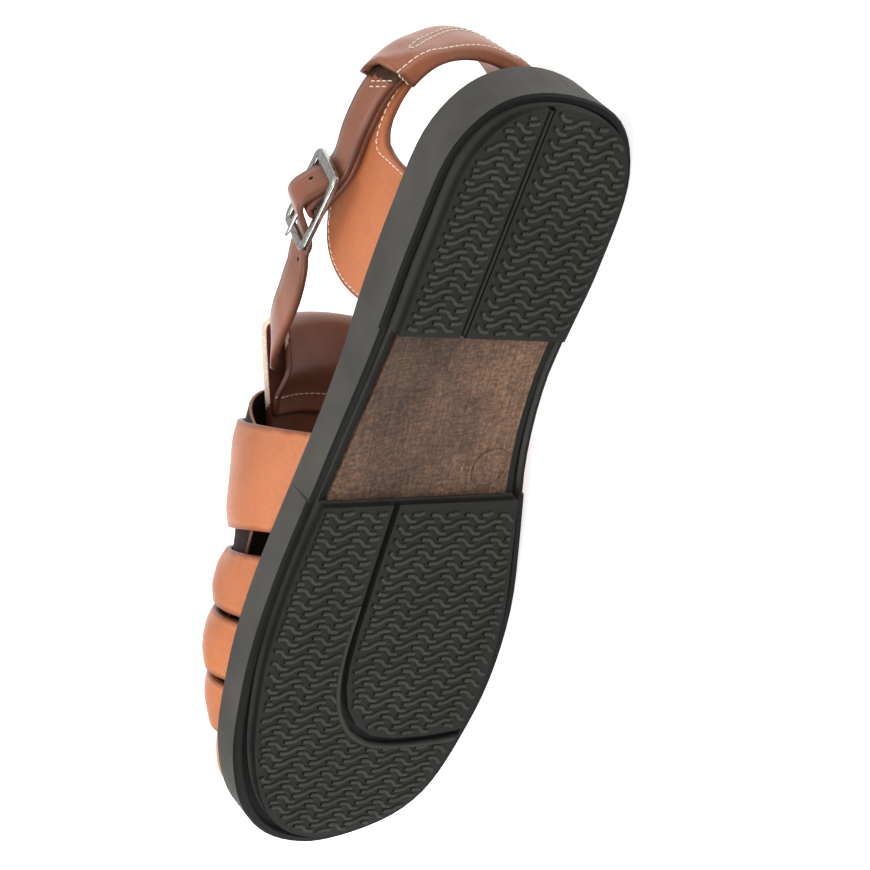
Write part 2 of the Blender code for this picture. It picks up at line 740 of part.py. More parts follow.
def quarter_inset(height, place):
    """Inset of the quarter's middle surface, by the lean table's column for the place."""
    return float(np.interp(height, column(QUARTER_LEAN, 0), column(QUARTER_LEAN, place)))


def heel_place(along, height, side):
    """Point on the quarter's middle surface beside the heel at a station and height."""
    band_line = QUARTER_LINES[-1][4]
    blend = min(max((LEAN_FROM - along) / (LEAN_FROM - band_line), 0.0), 1.0)
    blend = blend * blend * (3 - 2 * blend)
    inset = quarter_inset(height, 1) * (1 - blend) + quarter_inset(height, 2 + side) * blend
    loop_side = sides(outline_inset(inset))[side]
    return np.array((across(loop_side, along), along, height))


def heel_round(share, height):
    """Point behind the heel; share runs from the lateral band line to the medial one."""
    start_y = QUARTER_LINES[-1][4]
    beyond = max(-share, share - 1.0)
    if beyond > 0.0:
        return heel_place(start_y + beyond * HEEL_ARC, height, 0 if share < 0.5 else 1)
    inset = quarter_inset(height, 2 if share < 0.5 else 3)
    back_inset = quarter_inset(height, 4)
    angle = (share - 0.5) * math.pi
    blend = math.cos(angle) ** 2
    loop = outline_inset(inset + (back_inset - inset) * blend)
    floor = QUARTER_LEAN[0][0]
    rise = BACK_RISE * blend * min(max((height - floor) / (BACK_RISE_FULL - floor), 0.0), 1.0)
    lateral, medial = sides(loop)
    arc = np.vstack((lateral[lateral[:, 1] < start_y][::-1], medial[medial[:, 1] < start_y][1:]))
    ends = (np.array((across(lateral, start_y), start_y)), np.array((across(medial, start_y), start_y)))
    arc = np.vstack((ends[0], arc, ends[1]))
    length = np.concatenate(([0.0], np.cumsum(np.linalg.norm(np.diff(arc, axis=0), axis=1))))
    wanted = share * length[-1]
    return np.array((np.interp(wanted, length, arc[:, 0]), np.interp(wanted, length, arc[:, 1]),
                     height + rise))


def quarter_lines():
    """Columns of one quarter from its front edge to the band line."""
    rows = []
    cover = []
    for k, count in enumerate(QUARTER_COLUMNS):
        first = np.array(QUARTER_LINES[k][1:6], dtype=float)
        last = np.array(QUARTER_LINES[k + 1][1:6], dtype=float)
        for step in range(count):
            rows.append(first + (last - first) * step / count)
            cover.append(QUARTER_LINES[k][6])
    rows.append(np.array(QUARTER_LINES[-1][1:6], dtype=float))
    return rows, cover


def quarter_column(row, side):
    """One quarter column: margin, side wall and the band level above it."""
    foot_y, middle_y, middle_z, top_y, top_z = row
    foot_x = across(WALL_SIDES[side], foot_y)
    foot = np.array((foot_x, foot_y, margin_height(foot_y)))
    points = margin_points(foot, inward_at(foot))
    for step in range(1, QUARTER_LOW_ROWS + 1):
        share = step / QUARTER_LOW_ROWS
        height = foot[2] + share * (middle_z - foot[2])
        points.append(heel_place(foot_y + share * (middle_y - foot_y), height, side))
    for step in range(1, QUARTER_HIGH_ROWS + 1):
        share = step / QUARTER_HIGH_ROWS
        height = middle_z + share * (top_z - middle_z)
        points.append(heel_place(middle_y + share * (top_y - middle_y), height, side))
    return points


def waist_column(foot_y, side):
    """One column of the waist, where only the turned-in margin runs on."""
    foot = np.array((across(WALL_SIDES[side], foot_y), foot_y, 0.0))
    return margin_points(foot, inward_at(foot))


def heel_column(share):
    """One column behind the heel: margin, open side and the band above it."""
    low = QUARTER_LINES[-1][3]
    top = QUARTER_LINES[-1][5]
    foot_y = QUARTER_LINES[-1][1]
    lateral, medial = WALL_SIDES
    arc = np.vstack((lateral[lateral[:, 1] < foot_y][::-1], medial[medial[:, 1] < foot_y][1:]))
    ends = (np.array((across(lateral, foot_y), foot_y)), np.array((across(medial, foot_y), foot_y)))
    arc = np.vstack((ends[0], arc, ends[1]))
    length = np.concatenate(([0.0], np.cumsum(np.linalg.norm(np.diff(arc, axis=0), axis=1))))
    wanted = share * length[-1]
    plan = np.array((np.interp(wanted, length, arc[:, 0]), np.interp(wanted, length, arc[:, 1])))
    foot = np.array((*plan, margin_height(plan[1])))
    points = margin_points(foot, inward_at(foot))
    for step in range(1, QUARTER_LOW_ROWS + 1):
        height = foot[2] + step / QUARTER_LOW_ROWS * (low - foot[2])
        points.append(heel_round(share, height))
    for step in range(1, QUARTER_HIGH_ROWS + 1):
        points.append(heel_round(share, low + step / QUARTER_HIGH_ROWS * (top - low)))
    return points


def build_upper():
    """Vamp bands, quarters and heel strip, one wall joined by its turned-in margin."""
    side_rows, side_cover = vamp_lines()
    quarter_rows, quarter_cover = quarter_lines()
    margin_rows = 3
    vamp_rows = margin_rows + SIDE_ROWS + STRIP_ROWS
    rear_rows = margin_rows + QUARTER_LOW_ROWS + QUARTER_HIGH_ROWS

    def pad(points):
        """Fill a rear column up to the vamp's row count."""
        return points + [points[-1]] * (vamp_rows - len(points))

    grid = []
    cover = []
    half = len(side_rows) - 1
    for k, row in enumerate(side_rows):
        foot_y = row[0]
        foot = np.array((across(WALL_SIDES[0], foot_y), foot_y, 0.0))
        grid.append(margin_points(foot, inward_at(foot)) + list(vamp_column(row, 0)))
    for k in range(half - 1, -1, -1):
        row = side_rows[k]
        foot_y = row[2]
        foot = np.array((across(WALL_SIDES[1], foot_y), foot_y, 0.0))
        grid.append(margin_points(foot, inward_at(foot)) + list(vamp_column(row, 1)))
    vamp_count = len(grid)
    for k in range(half):
        cover.append(("vamp", side_cover[k]))
    for k in range(half - 1, -1, -1):
        cover.append(("vamp", side_cover[k]))
    cover.append(("join", False))
    waist_steps = np.linspace(VAMP_LINES[0][3], QUARTER_LINES[0][1], WAIST_COLUMNS + 2)[1:-1]
    for foot_y in waist_steps:
        grid.append(pad(waist_column(foot_y, 1)))
        cover.append(("join", False))
    rear_start = len(grid)
    for row in quarter_rows[:-1]:
        grid.append(pad(quarter_column(row, 1)))
    for covered in quarter_cover:
        cover.append(("rear", covered))
    for k in range(HEEL_BACK_COLUMNS + 1):
        grid.append(pad(heel_column(1 - k / HEEL_BACK_COLUMNS)))
        if k < HEEL_BACK_COLUMNS:
            cover.append(("rear", False))
    for row in quarter_rows[:-1][::-1]:
        grid.append(pad(quarter_column(row, 0)))
    for covered in quarter_cover[::-1]:
        cover.append(("rear", covered))
    rear_end = len(grid) - 1
    cover.append(("join", False))
    waist_steps = np.linspace(QUARTER_LINES[0][1], VAMP_LINES[0][1], WAIST_COLUMNS + 2)[1:-1]
    for foot_y in waist_steps:
        grid.append(pad(waist_column(foot_y, 0)))
        cover.append(("join", False))
    partner = np.arange(len(grid))
    partner[:vamp_count] = partner[:vamp_count][::-1]

    def covered(i, r):
        kind, closed = cover[i]
        if r < margin_rows - 1:
            return True
        if kind == "join":
            return False
        if kind == "vamp":
            return closed or r >= margin_rows - 1 + SIDE_ROWS
        if r >= rear_rows - 1:
            return False
        return closed or r >= margin_rows - 1 + QUARTER_LOW_ROWS

    spans = ((0, vamp_count - 1), (rear_start, rear_end))
    wall = Wall(grid, covered, WALL, partner, spans, rear_rows)
    return wall.build("upper", "leather", corner_row=margin_rows - 1)


def instep_surface(y, sigma):
    """Point on the instep strap's upper layer at a station and a share of its width."""
    centre, height, half, crown = INSTEP_CURVES
    return np.array((centre(y) + sigma * half(y), y, height(y) - crown(y) * sigma ** 2))


INSTEP_CURVES = [smooth(column(INSTEP_STRAP, 0), column(INSTEP_STRAP, k)) for k in (1, 2, 3, 4)]


def instep_frame(y, sigma):
    """Place, backward direction and upward normal of the upper layer."""
    step = 0.5
    place = instep_surface(y, sigma)
    ahead = instep_surface(y + step, sigma) - instep_surface(y - step, sigma)
    aside = instep_surface(y, sigma + 0.05) - instep_surface(y, sigma - 0.05)
    up = np.cross(aside, ahead)
    return place, -ahead / np.linalg.norm(ahead), up / np.linalg.norm(up)


def build_instep_strap():
    """Instep strap: upper layer, round fold at its rear and the flap stitched under it."""
    first = INSTEP_STRAP[0][0]
    last = INSTEP_STRAP[-1][0]
    sigmas = np.linspace(-1.0, 1.0, INSTEP_ROWS + 1)
    places = []
    facing = []
    for y in np.linspace(FLAP_END, first, 9)[:-1]:
        opening = min(max((FLAP_END - 4.0 - y) / (FLAP_END - 4.0 - FLAP_CLOSES + 6.0), 0.0), 1.0)
        opening = opening * opening * (3 - 2 * opening)
        drop = FLAP_SHUT + (2 * FOLD_RADIUS - FLAP_SHUT) * opening
        frames = [instep_frame(y, s) for s in sigmas]
        places.append([place - up * drop for place, back, up in frames])
        facing.append([-up for place, back, up in frames])
    for step in range(FOLD_STEPS + 1):
        turn = math.pi * (1 - step / FOLD_STEPS)
        frames = [instep_frame(first, s) for s in sigmas]
        places.append([place + back * FOLD_RADIUS * math.sin(turn) - up * FOLD_RADIUS * (1 - math.cos(turn))
                       for place, back, up in frames])
        facing.append([up * math.cos(turn) + back * math.sin(turn) for place, back, up in frames])
    for y in np.linspace(first, last, INSTEP_COLUMNS)[1:]:
        frames = [instep_frame(y, s) for s in sigmas]
        places.append([place for place, back, up in frames])
        facing.append([up for place, back, up in frames])
    places = np.array(places)
    facing = np.array(facing)
    shell = Shell()
    columns, rows = places.shape[:2]
    outer = np.array(shell.add_points((places + facing * WALL / 2).reshape(-1, 3))).reshape(columns, rows)
    inner = np.array(shell.add_points((places - facing * WALL / 2).reshape(-1, 3))).reshape(columns, rows)
    for k in range(columns - 1):
        for r in range(rows - 1):
            shell.faces.append((outer[k, r], outer[k + 1, r], outer[k + 1, r + 1], outer[k, r + 1]))
            shell.faces.append((inner[k, r + 1], inner[k + 1, r + 1], inner[k + 1, r], inner[k, r]))
        for r in (0, rows - 1):
            shell.faces.append((outer[k, r], outer[k + 1, r], inner[k + 1, r], inner[k, r]))
    for k in (0, columns - 1):
        for r in range(rows - 1):
            shell.faces.append((outer[k, r], outer[k, r + 1], inner[k, r + 1], inner[k, r]))
    return shell.make("instep_strap", "leather")


def heel_skin(share, height, offset):
    """Point off the heel strip's middle surface, and the outward direction there."""
    step = 0.02
    here = heel_round(share, height)
    run = heel_round(share + step, height) - heel_round(share - step, height)
    outward = np.array((run[1], -run[0], 0.0))
    outward /= np.linalg.norm(outward)
    centre = np.array((0.0, QUARTER_LINES[-1][4]))
    if np.dot(here[:2] - centre, outward[:2]) < 0:
        outward = -outward
    return here + outward * offset, outward


def band_reach(share):
    """How far the heel band's outer leather stands off; more where two layers run in."""
    blend = min(max((0.26 - share) / 0.16, 0.0), 1.0)
    blend = blend * blend * (3 - 2 * blend)
    flare = MOUTH_FLARE * max(1.0 - max(share, 0.0) / MOUTH_FLARE_SHARE, 0.0) ** 2
    return BAND_REACH + (BAND_REACH_LATERAL - BAND_REACH) * blend + flare


def build_heel_band():
    """Outer leather of the heel band: a channel open towards the heel strip."""
    half = BAND_THICK / 2
    low_inner = QUARTER_LINES[-1][3] - PIECE_GAP
    top_inner = QUARTER_LINES[-1][5] + PIECE_GAP
    shell = Shell()
    rings = []
    for share in np.linspace(0.0, 1.0, BAND_SECTIONS + 1):
        reach = band_reach(share)
        section = (
            (-1.0, BAND_LOW), (reach - 1.0, BAND_LOW), (reach + half, BAND_LOW + 2.0),
            (reach + half, BAND_TOP - 2.2), (reach - 1.2, BAND_TOP), (-1.0, BAND_TOP),
            (-1.0, top_inner), (reach - half - 0.6, top_inner), (reach - half, top_inner - 1.0),
            (reach - half, low_inner + 0.8), (reach - half - 0.6, low_inner), (-1.0, low_inner),
        )
        ring_points = []
        for offset, height in section:
            upward = (height - BAND_LOW) / (BAND_TOP - BAND_LOW)
            slant = MOUTH_SLANT_LOW + (MOUTH_SLANT_TOP - MOUTH_SLANT_LOW) * upward
            place = 0.5 + (share - 0.5) * (1.0 + slant)
            ring_points.append(heel_skin(place, height, offset)[0])
        rings.append(shell.add_points(ring_points))
    for first, second in zip(rings, rings[1:]):
        shell.bridge(first, second)
    shell.faces.append(tuple(rings[0]))
    shell.faces.append(tuple(rings[-1])[::-1])
    return shell.make("heel_band", "leather")


def ribbon(name, points, edges, wide=STRAP_WIDTH):
    """A flat strap along a path; edges are the directions of its upper edge."""
    points = np.asarray(points, dtype=float)
    edges = np.asarray(edges, dtype=float)
    run = np.gradient(points, axis=0)
    run /= np.linalg.norm(run, axis=1)[:, None]
    edges = edges - run * np.einsum("ij,ij->i", edges, run)[:, None]
    edges /= np.linalg.norm(edges, axis=1)[:, None]
    face = np.cross(run, edges)
    shell = Shell()
    rings = []
    for place, edge, out in zip(points, edges, face):
        rings.append(shell.add_points([place + edge * wide / 2 * a + out * STRAP_THICK / 2 * b
                                       for a, b in ((-1, -1), (1, -1), (1, 1), (-1, 1))]))
    for first, second in zip(rings, rings[1:]):
        shell.bridge(first, second)
    shell.faces.append(tuple(rings[0]))
    shell.faces.append(tuple(rings[-1])[::-1])
    return shell.make(name, "leather")


def path_through(points, edges):
    """Even points and edge directions on a smooth curve through a route."""
    points = np.asarray(points, dtype=float)
    edges = np.asarray(edges, dtype=float)
    length = np.concatenate(([0.0], np.cumsum(np.linalg.norm(np.diff(points, axis=0), axis=1))))
    count = int(length[-1] / STRAP_SPACING) + 1
    wanted = np.linspace(0.0, length[-1], count)
    place = np.column_stack([smooth(length, points[:, k])(wanted) for k in range(3)])
    edge = np.column_stack([smooth(length, edges[:, k])(wanted) for k in range(3)])
    return place, edge


def buckle_axes():
    """Directions along, across and out of the buckle."""
    turn = math.radians(BUCKLE_TURN)
    lean = math.radians(BUCKLE_LEAN)
    along = np.array((0.0, math.cos(turn), math.sin(turn)))
    upward = np.array((math.sin(lean), -math.sin(turn) * math.cos(lean), math.cos(turn) * math.cos(lean)))
    outward = np.cross(upward, along)
    return along, upward, outward


def buckle_point(along, outward, upward=0.0):
    """A point given in the buckle's own directions."""
    axes = buckle_axes()
    return np.array(BUCKLE_CENTRE) + axes[0] * along + axes[1] * upward + axes[2] * outward


def tunnel_point(share, height, offset):
    """Point in the heel band's tunnel and the direction of a strap's upper edge there."""
    place = heel_skin(share, height, offset)[0]
    edge = heel_skin(share, height + 5.0, offset)[0] - heel_skin(share, height - 5.0, offset)[0]
    return place, edge / np.linalg.norm(edge)


def side_point(side, along, offset):
    """Point off the quarter beside the heel, with the direction of a strap's upper edge."""
    place = heel_place(along, HEEL_STRAP_HEIGHT, side)
    edge = heel_place(along, HEEL_STRAP_HEIGHT + 5.0, side) - heel_place(along, HEEL_STRAP_HEIGHT - 5.0, side)
    edge /= np.linalg.norm(edge)
    run = heel_place(along + 1.0, HEEL_STRAP_HEIGHT, side) - heel_place(along - 1.0, HEEL_STRAP_HEIGHT, side)
    outward = np.cross(run, edge) * (1 if side else -1)
    return place + outward / np.linalg.norm(outward) * offset, edge


def build_ankle_strap():
    """Strap from the medial tunnel through the instep strap's sleeve and the buckle."""
    points = []
    edges = []
    for share in (0.60, 0.68, 0.76, 0.84, 0.92, 1.0):
        place, edge = tunnel_point(share, HEEL_STRAP_HEIGHT, TUNNEL_FIRST)
        points.append(place)
        edges.append(edge)
    for along in SIDE_PLACES:
        place, edge = side_point(1, along, TUNNEL_FIRST)
        points.append(place)
        edges.append(edge)
    for row in ANKLE_STRAP_ROUTE:
        points.append(row[1:4])
        edges.append(row[4:7])
    for place, along, outward in BUCKLE_ROUTE:
        points.append(buckle_point(along, outward))
        edges.append(buckle_axes()[1])
    for along in SIDE_PLACES[::-1]:
        place, edge = side_point(0, along, TUNNEL_SECOND)
        points.append(place)
        edges.append(edge)
    for share in (0.0, FREE_END_SHARE):
        place, edge = tunnel_point(share, HEEL_STRAP_HEIGHT, TUNNEL_SECOND)
        points.append(place)
        edges.append(edge)
    place, edge = path_through(points, edges)
    return ribbon("ankle_strap", place, edge)


def build_buckle_strap():
    """Short strap that holds the buckle, folded round its post and run into the band."""
    points = []
    edges = []
    for share in (0.56, 0.48, 0.40, 0.32, 0.24, 0.16, 0.08, 0.0):
        place, edge = tunnel_point(share, HEEL_STRAP_HEIGHT, TUNNEL_FIRST)
        points.append(place)
        edges.append(edge)
    for along in SIDE_PLACES:
        place, edge = side_point(0, along, TUNNEL_FIRST)
        points.append(place)
        edges.append(edge)
    for place, along, outward in ANCHOR_ROUTE:
        points.append(buckle_point(along, outward))
        edges.append(buckle_axes()[1])
    place, edge = path_through(points, edges)
    round_post = POST_RADIUS + PIECE_GAP + STRAP_THICK / 2
    loop = []
    for step in range(9):
        turn = -math.pi / 2 + math.pi * step / 8
        loop.append(buckle_point(round_post * math.cos(turn), round_post * math.sin(turn)))
    for reach in (0.5, 1.0):
        loop.append(buckle_point(-ANCHOR_RETURN * reach, round_post - 3.6 * reach ** 1.4))
    place = np.vstack((place, loop))
    edge = np.vstack((edge, [buckle_axes()[1]] * len(loop)))
    return ribbon("buckle_strap", place, edge, wide=STRAP_WIDTH - 0.6)


def rod(shell, points, radius, normal, closed):
    """A round rod along points that lie in a plane with the given normal."""
    points = np.asarray(points, dtype=float)
    if closed:
        run = np.roll(points, -1, axis=0) - np.roll(points, 1, axis=0)
    else:
        run = np.gradient(points, axis=0)
    run /= np.linalg.norm(run, axis=1)[:, None]
    aside = np.cross(run, normal)
    aside /= np.linalg.norm(aside, axis=1)[:, None]
    rings = []
    for place, side in zip(points, aside):
        turns = 2 * math.pi * (np.arange(BAR_SIDES) + 0.5) / BAR_SIDES
        rings.append(shell.add_points([place + radius * (math.cos(t) * side + math.sin(t) * np.asarray(normal))
                                       for t in turns]))
    for first, second in zip(rings, rings[1:] + (rings[:1] if closed else [])):
        shell.bridge(first, second)
    if not closed:
        shell.faces.append(tuple(rings[0]))
        shell.faces.append(tuple(rings[-1])[::-1])


def build_buckle():
    """Round-cornered frame with the post that its strap folds round."""
    along, upward, outward = buckle_axes()
    shell = Shell()
    points = []
    half_long = BUCKLE_LONG / 2 - BAR_RADIUS
    half_wide = BUCKLE_WIDE / 2 - BAR_RADIUS
    for corner in range(4):
        sign_a = (1, -1, -1, 1)[corner]
        sign_b = (1, 1, -1, -1)[corner]
        for step in range(5):
            turn = math.pi / 2 * (corner + step / 4)
            points.append(buckle_point(
                sign_a * (half_long - BUCKLE_CORNER) + BUCKLE_CORNER * math.cos(turn), 0.0,
                sign_b * (half_wide - BUCKLE_CORNER) + BUCKLE_CORNER * math.sin(turn)))
    rod(shell, points, BAR_RADIUS, outward, closed=True)
    frame = shell.make("buckle_frame", "nickel")
    shell = Shell()
    ends = (-half_wide, 0.0, half_wide)
    rod(shell, [buckle_point(0.0, 0.0, end) for end in ends], POST_RADIUS, outward, closed=False)
    post = shell.make("post", "nickel")
    join(frame, post)
    return frame


def prong_path(turns):
    """Middle line of the prong: round the post for part of a turn, then to the front bar."""
    round_post = POST_RADIUS + PIECE_GAP + PRONG_RADIUS
    points = []
    for step in range(turns + 1):
        turn = math.radians(PRONG_WRAP) * (1 - step / turns) + math.pi / 2
        points.append(buckle_point(round_post * math.cos(turn), round_post * math.sin(turn)))
    rest = BAR_RADIUS + PRONG_RADIUS + PIECE_GAP
    for share in (0.3, 0.6, 0.85, 1.0):
        points.append(buckle_point(PRONG_REACH * share, round_post + (rest - round_post) * share))
    return points


def build_prong(ankle_strap, buckle_strap):
    """Prong on the post, through its hole in the strap and out to the front bar."""
    upward = buckle_axes()[1]
    shell = Shell()
    rod(shell, prong_path(8), PRONG_RADIUS, upward, closed=False)
    prong = shell.make("buckle_prong", "nickel")
    shell = Shell()
    rod(shell, prong_path(3)[3:-1], PRONG_RADIUS + PIECE_GAP, upward, closed=False)
    cut(ankle_strap, shell.make("strap hole", "leather"))
    shell = Shell()
    half = PRONG_RADIUS + PIECE_GAP
    block = []
    for outward in (-SLOT_REACH, SLOT_REACH):
        block.append(shell.add_points([buckle_point(a * SLOT_REACH, outward, b * half)
                                       for a, b in ((-1, -1), (1, -1), (1, 1), (-1, 1))]))
    shell.bridge(block[0], block[1])
    shell.faces.append(tuple(block[0]))
    shell.faces.append(tuple(block[1])[::-1])
    cut(buckle_strap, shell.make("strap slot", "leather"))
    return prong


def join(target, addition):
    """Join another closed object onto a target and drop it."""
    modifier = target.modifiers.new("join", "BOOLEAN")
    modifier.operation = "UNION"
    modifier.solver = "EXACT"
    modifier.object = addition
    graph = bpy.context.evaluated_depsgraph_get()
    joined = bpy.data.meshes.new_from_object(target.evaluated_get(graph))
    target.modifiers.clear()
    target.data = joined
    bpy.data.objects.remove(addition)


def main():
    """Build every piece and lay the shoe on its side."""
    for item in list(bpy.data.objects):
        bpy.data.objects.remove(item)
    ankle_strap = build_ankle_strap()
    buckle_strap = build_buckle_strap()
    pieces = [
        build_outsole(), build_waist_board(), build_insole(), build_upper(), build_instep_strap(),
        build_heel_band(), ankle_strap, buckle_strap, build_buckle(),
        build_prong(ankle_strap, buckle_strap),
    ]
    lie = bpy.data.objects.new("lie", None)
    on_side = Matrix(((0.0, -1.0, 0.0), (0.0, 0.0, 1.0), (-1.0, 0.0, 0.0))).to_4x4()
    roll = Matrix.Rotation(math.radians(LIE_ROLL), 4, "X")
    pitch = Matrix.Rotation(math.radians(LIE_PITCH), 4, "Y")
    lie.matrix_world = Matrix.Translation(LIE_SHIFT) @ roll @ pitch @ on_side
    bpy.context.scene.collection.objects.link(lie)
    for piece in pieces:
        piece.parent = lie
    bpy.context.view_layer.update()


main()
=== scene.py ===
"""Fisherman sandal: leather, rubber, metal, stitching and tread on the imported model."""

import math
from itertools import product

import bmesh
import bpy
import numpy as np
from mathutils import Matrix, Vector
from mathutils.bvhtree import BVHTree
from mathutils.kdtree import KDTree


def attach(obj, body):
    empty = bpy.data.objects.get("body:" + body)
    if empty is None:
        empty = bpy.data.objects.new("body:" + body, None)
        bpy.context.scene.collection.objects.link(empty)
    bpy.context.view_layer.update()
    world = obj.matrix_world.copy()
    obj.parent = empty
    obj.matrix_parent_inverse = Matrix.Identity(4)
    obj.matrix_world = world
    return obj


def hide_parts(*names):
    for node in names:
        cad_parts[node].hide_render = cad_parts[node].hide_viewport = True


bl_info = {
    "name": "Fisherman sandal",
    "version": (1, 0, 0),
    "blender": (4, 5, 0),
    "location": "3D View > Sidebar > Sandal",
    "description": "Dresses the packed fisherman sandal with leather, rubber, metal and stitching",
    "category": "Object",
}

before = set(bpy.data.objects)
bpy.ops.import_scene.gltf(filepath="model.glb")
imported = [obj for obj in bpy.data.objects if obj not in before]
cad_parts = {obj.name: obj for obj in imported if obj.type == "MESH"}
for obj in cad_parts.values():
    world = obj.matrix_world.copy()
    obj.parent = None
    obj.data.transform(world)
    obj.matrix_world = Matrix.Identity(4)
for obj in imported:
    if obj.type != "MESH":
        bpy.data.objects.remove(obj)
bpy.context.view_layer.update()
MM = 0.001

# How the shoe lies, the same as in its solids, in degrees and metres.
LIE_ROLL = -5.21
LIE_PITCH = 8.262
LIE_SHIFT = (0.148492, -0.04164, 0.033749)
ON_SIDE = Matrix(((0.0, -1.0, 0.0), (0.0, 0.0, 1.0), (-1.0, 0.0, 0.0))).to_4x4()
LIE = (Matrix.Translation(LIE_SHIFT) @ Matrix.Rotation(math.radians(LIE_ROLL), 4, "X")
       @ Matrix.Rotation(math.radians(LIE_PITCH), 4, "Y") @ ON_SIDE)
UNLIE = LIE.inverted()
SHOE_AHEAD = (0.0, 1.0, 0.0)
SHOE_UP = (0.0, 0.0, 1.0)
SHOE_DOWN = (0.0, 0.0, -1.0)

# Leather: cut edges are narrow faces between edges sharper than an angle in degrees. Near them
# the leather is darker, and their curves are evened out, most at the quarter's rear corner.
GRAIN_SLOT, BACK_SLOT, EDGE_SLOT = range(3)
STRAP_FINISHES = ("strap", "back", "dark_edge")
SHARP_EDGE = 50.0
EDGE_WIDTH = 0.0026
RIM_FADE = 0.0032
RIM_SMOOTH_FROM = 27.0
RIM_SMOOTH_ROUNDS = 3
RIM_SMOOTH_SHARE = 0.45
REAR_CORNER = (43.0, 42.0)
REAR_CORNER_REACH = 12.0
REAR_CORNER_ROUNDS = 5

# Middle of the foot in shoe millimetres, along the shoe and in the heel.
FOOT_ACROSS = 10.0
FOOT_UP = 40.0
HEEL_MIDDLE = (0.0, 40.0, 50.0)

# Camera in the shoe's own frame, millimetres, with its right and forward directions.
CAMERA_PLACE = (-851.8, -386.2, -870.7)
CAMERA_RIGHT = (0.7662, -0.3394, -0.5456)
CAMERA_FORWARD = (0.6425, 0.3883, 0.6607)
CAMERA_LENS = 170.76

# Floor, white surroundings and lights: place in metres, size in metres and power in watts.
WHITE = (1.0, 1.0, 1.0, 1.0)
FLOOR_REACH = 4.0
FLOOR_COLOUR = (0.85, 0.85, 0.85, 1.0)
FLOOR_GLOW = 0.6
WORLD_GLOW = 0.6
LIGHTS = (
    ("key", (-0.5, -0.9, 1.4), 0.9, 26.0),
    ("fill", (1.1, -1.0, 0.7), 1.2, 9.0),
    ("top", (0.2, 0.5, 1.5), 1.0, 12.0),
)
LIGHT_AIM = (0.0, 0.0, 0.04)

# Outer edge of the sole and how far its tread edge lies inside it, millimetres.
SOLE_OUTLINE = (
    # across, along, tread edge inset
    (-4.0, 5.4, 2.8), (-25.6, 10.0, 3.8), (-38.1, 25.6, 4.8), (-40.8, 58.0, 5.2), (-40.4, 95.0, 5.0),
    (-42.3, 138.0, 4.6), (-44.1, 184.0, 4.4), (-42.5, 209.0, 4.6), (-38.6, 229.0, 5.2),
    (-31.8, 250.6, 6.0), (-20.5, 270.4, 6.2), (-9.2, 282.4, 5.8), (3.5, 290.0, 5.2),
    (20.5, 293.6, 5.0), (39.0, 289.7, 5.0), (53.4, 281.8, 5.2), (61.1, 270.6, 5.4),
    (65.3, 243.0, 5.6), (65.7, 224.0, 5.6), (61.7, 194.8, 5.6), (52.1, 164.0, 5.6),
    (42.5, 134.8, 5.0), (37.9, 104.0, 4.6), (40.4, 66.0, 5.2), (37.5, 31.0, 4.8), (24.0, 12.3, 3.8),
)
TOE_SPRING_START = 195.0
TOE_SPRING_RISE = 0.00076
HEEL_BREAST = 90.2
FOREPART_BREAST = 153.0
HEEL_GROOVE = ((-9.4, 2.0), (-9.4, 96.0))
FOREPART_GROOVE = (
    (-9.6, 145.0), (-7.3, 176.0), (-5.2, 202.0), (-3.4, 214.0), (-0.4, 224.0), (4.2, 232.6),
    (11.0, 240.0), (20.0, 244.9), (30.5, 246.6), (45.0, 246.0), (58.0, 244.1), (70.0, 239.5),
)

# Tread bars: the two bars' own shapes, how far they keep from the tread's edge and the grooves,
# and each tread's groove, the middle of one bar, its rows each way and its ends along the shoe.
FALLING_BAR = ((-4.4, -1.2), (-0.7, -1.2), (1.2, 1.2), (4.4, 1.2))
RISING_BAR = ((-4.8, 1.1), (-1.1, 1.0), (1.1, -1.1), (4.8, -1.1))
BAR_STEP = 0.8
CORNER_CUT = 0.28
BAR_MARGIN = 1.5
BARS_ASIDE = 6
GROOVE_CLEAR = 2.9
SHOE_END = 300.0
TREADS = (
    ("heel", HEEL_GROOVE, (-19.43, 43.83), 11, 0.0, HEEL_BREAST - 1.6),
    ("forepart", FOREPART_GROOVE, (11.04, 184.9), 24, FOREPART_BREAST + 1.2, SHOE_END),
)

# Bead in the heel groove and lip outside the curved one: radii in metres, the rest in millimetres.
BEAD_MARGIN = 0.6
BEAD_END = HEEL_BREAST - 0.6
BEAD_LIFT = 0.3
BEAD_RADIUS = 0.00062
LIP_ASIDE = 2.2
LIP_START = 190.0
LIP_LIFT = 0.75
LIP_RADIUS = 0.0013

# Plain ring on the waist board, its centre in shoe millimetres and its bead in metres.
RING_CENTRE = (27.1, 139.6, 3.55)
RING_BEAD = 0.00032

# Stitch lines on the quarters, as along and height, and how far out they are looked for and lie.
QUARTER_FRONT = ((88.0, 22.0), (88.2, 27.0), (88.1, 32.0), (87.3, 37.4), (85.8, 42.2), (83.0, 47.2),
                 (79.4, 50.8), (75.6, 52.9), (71.0, 54.3), (66.0, 55.2), (60.0, 55.0), (54.0, 54.9),
                 (48.0, 55.6))
QUARTER_REAR = ((45.4, 23.0), (45.6, 28.0), (45.9, 34.0), (46.2, 39.0), (45.2, 42.4), (42.6, 44.4),
                (38.6, 45.9), (33.0, 47.0), (27.0, 47.6))
QUARTER_SIGHT = 90.0
QUARTER_OUT = 20.0

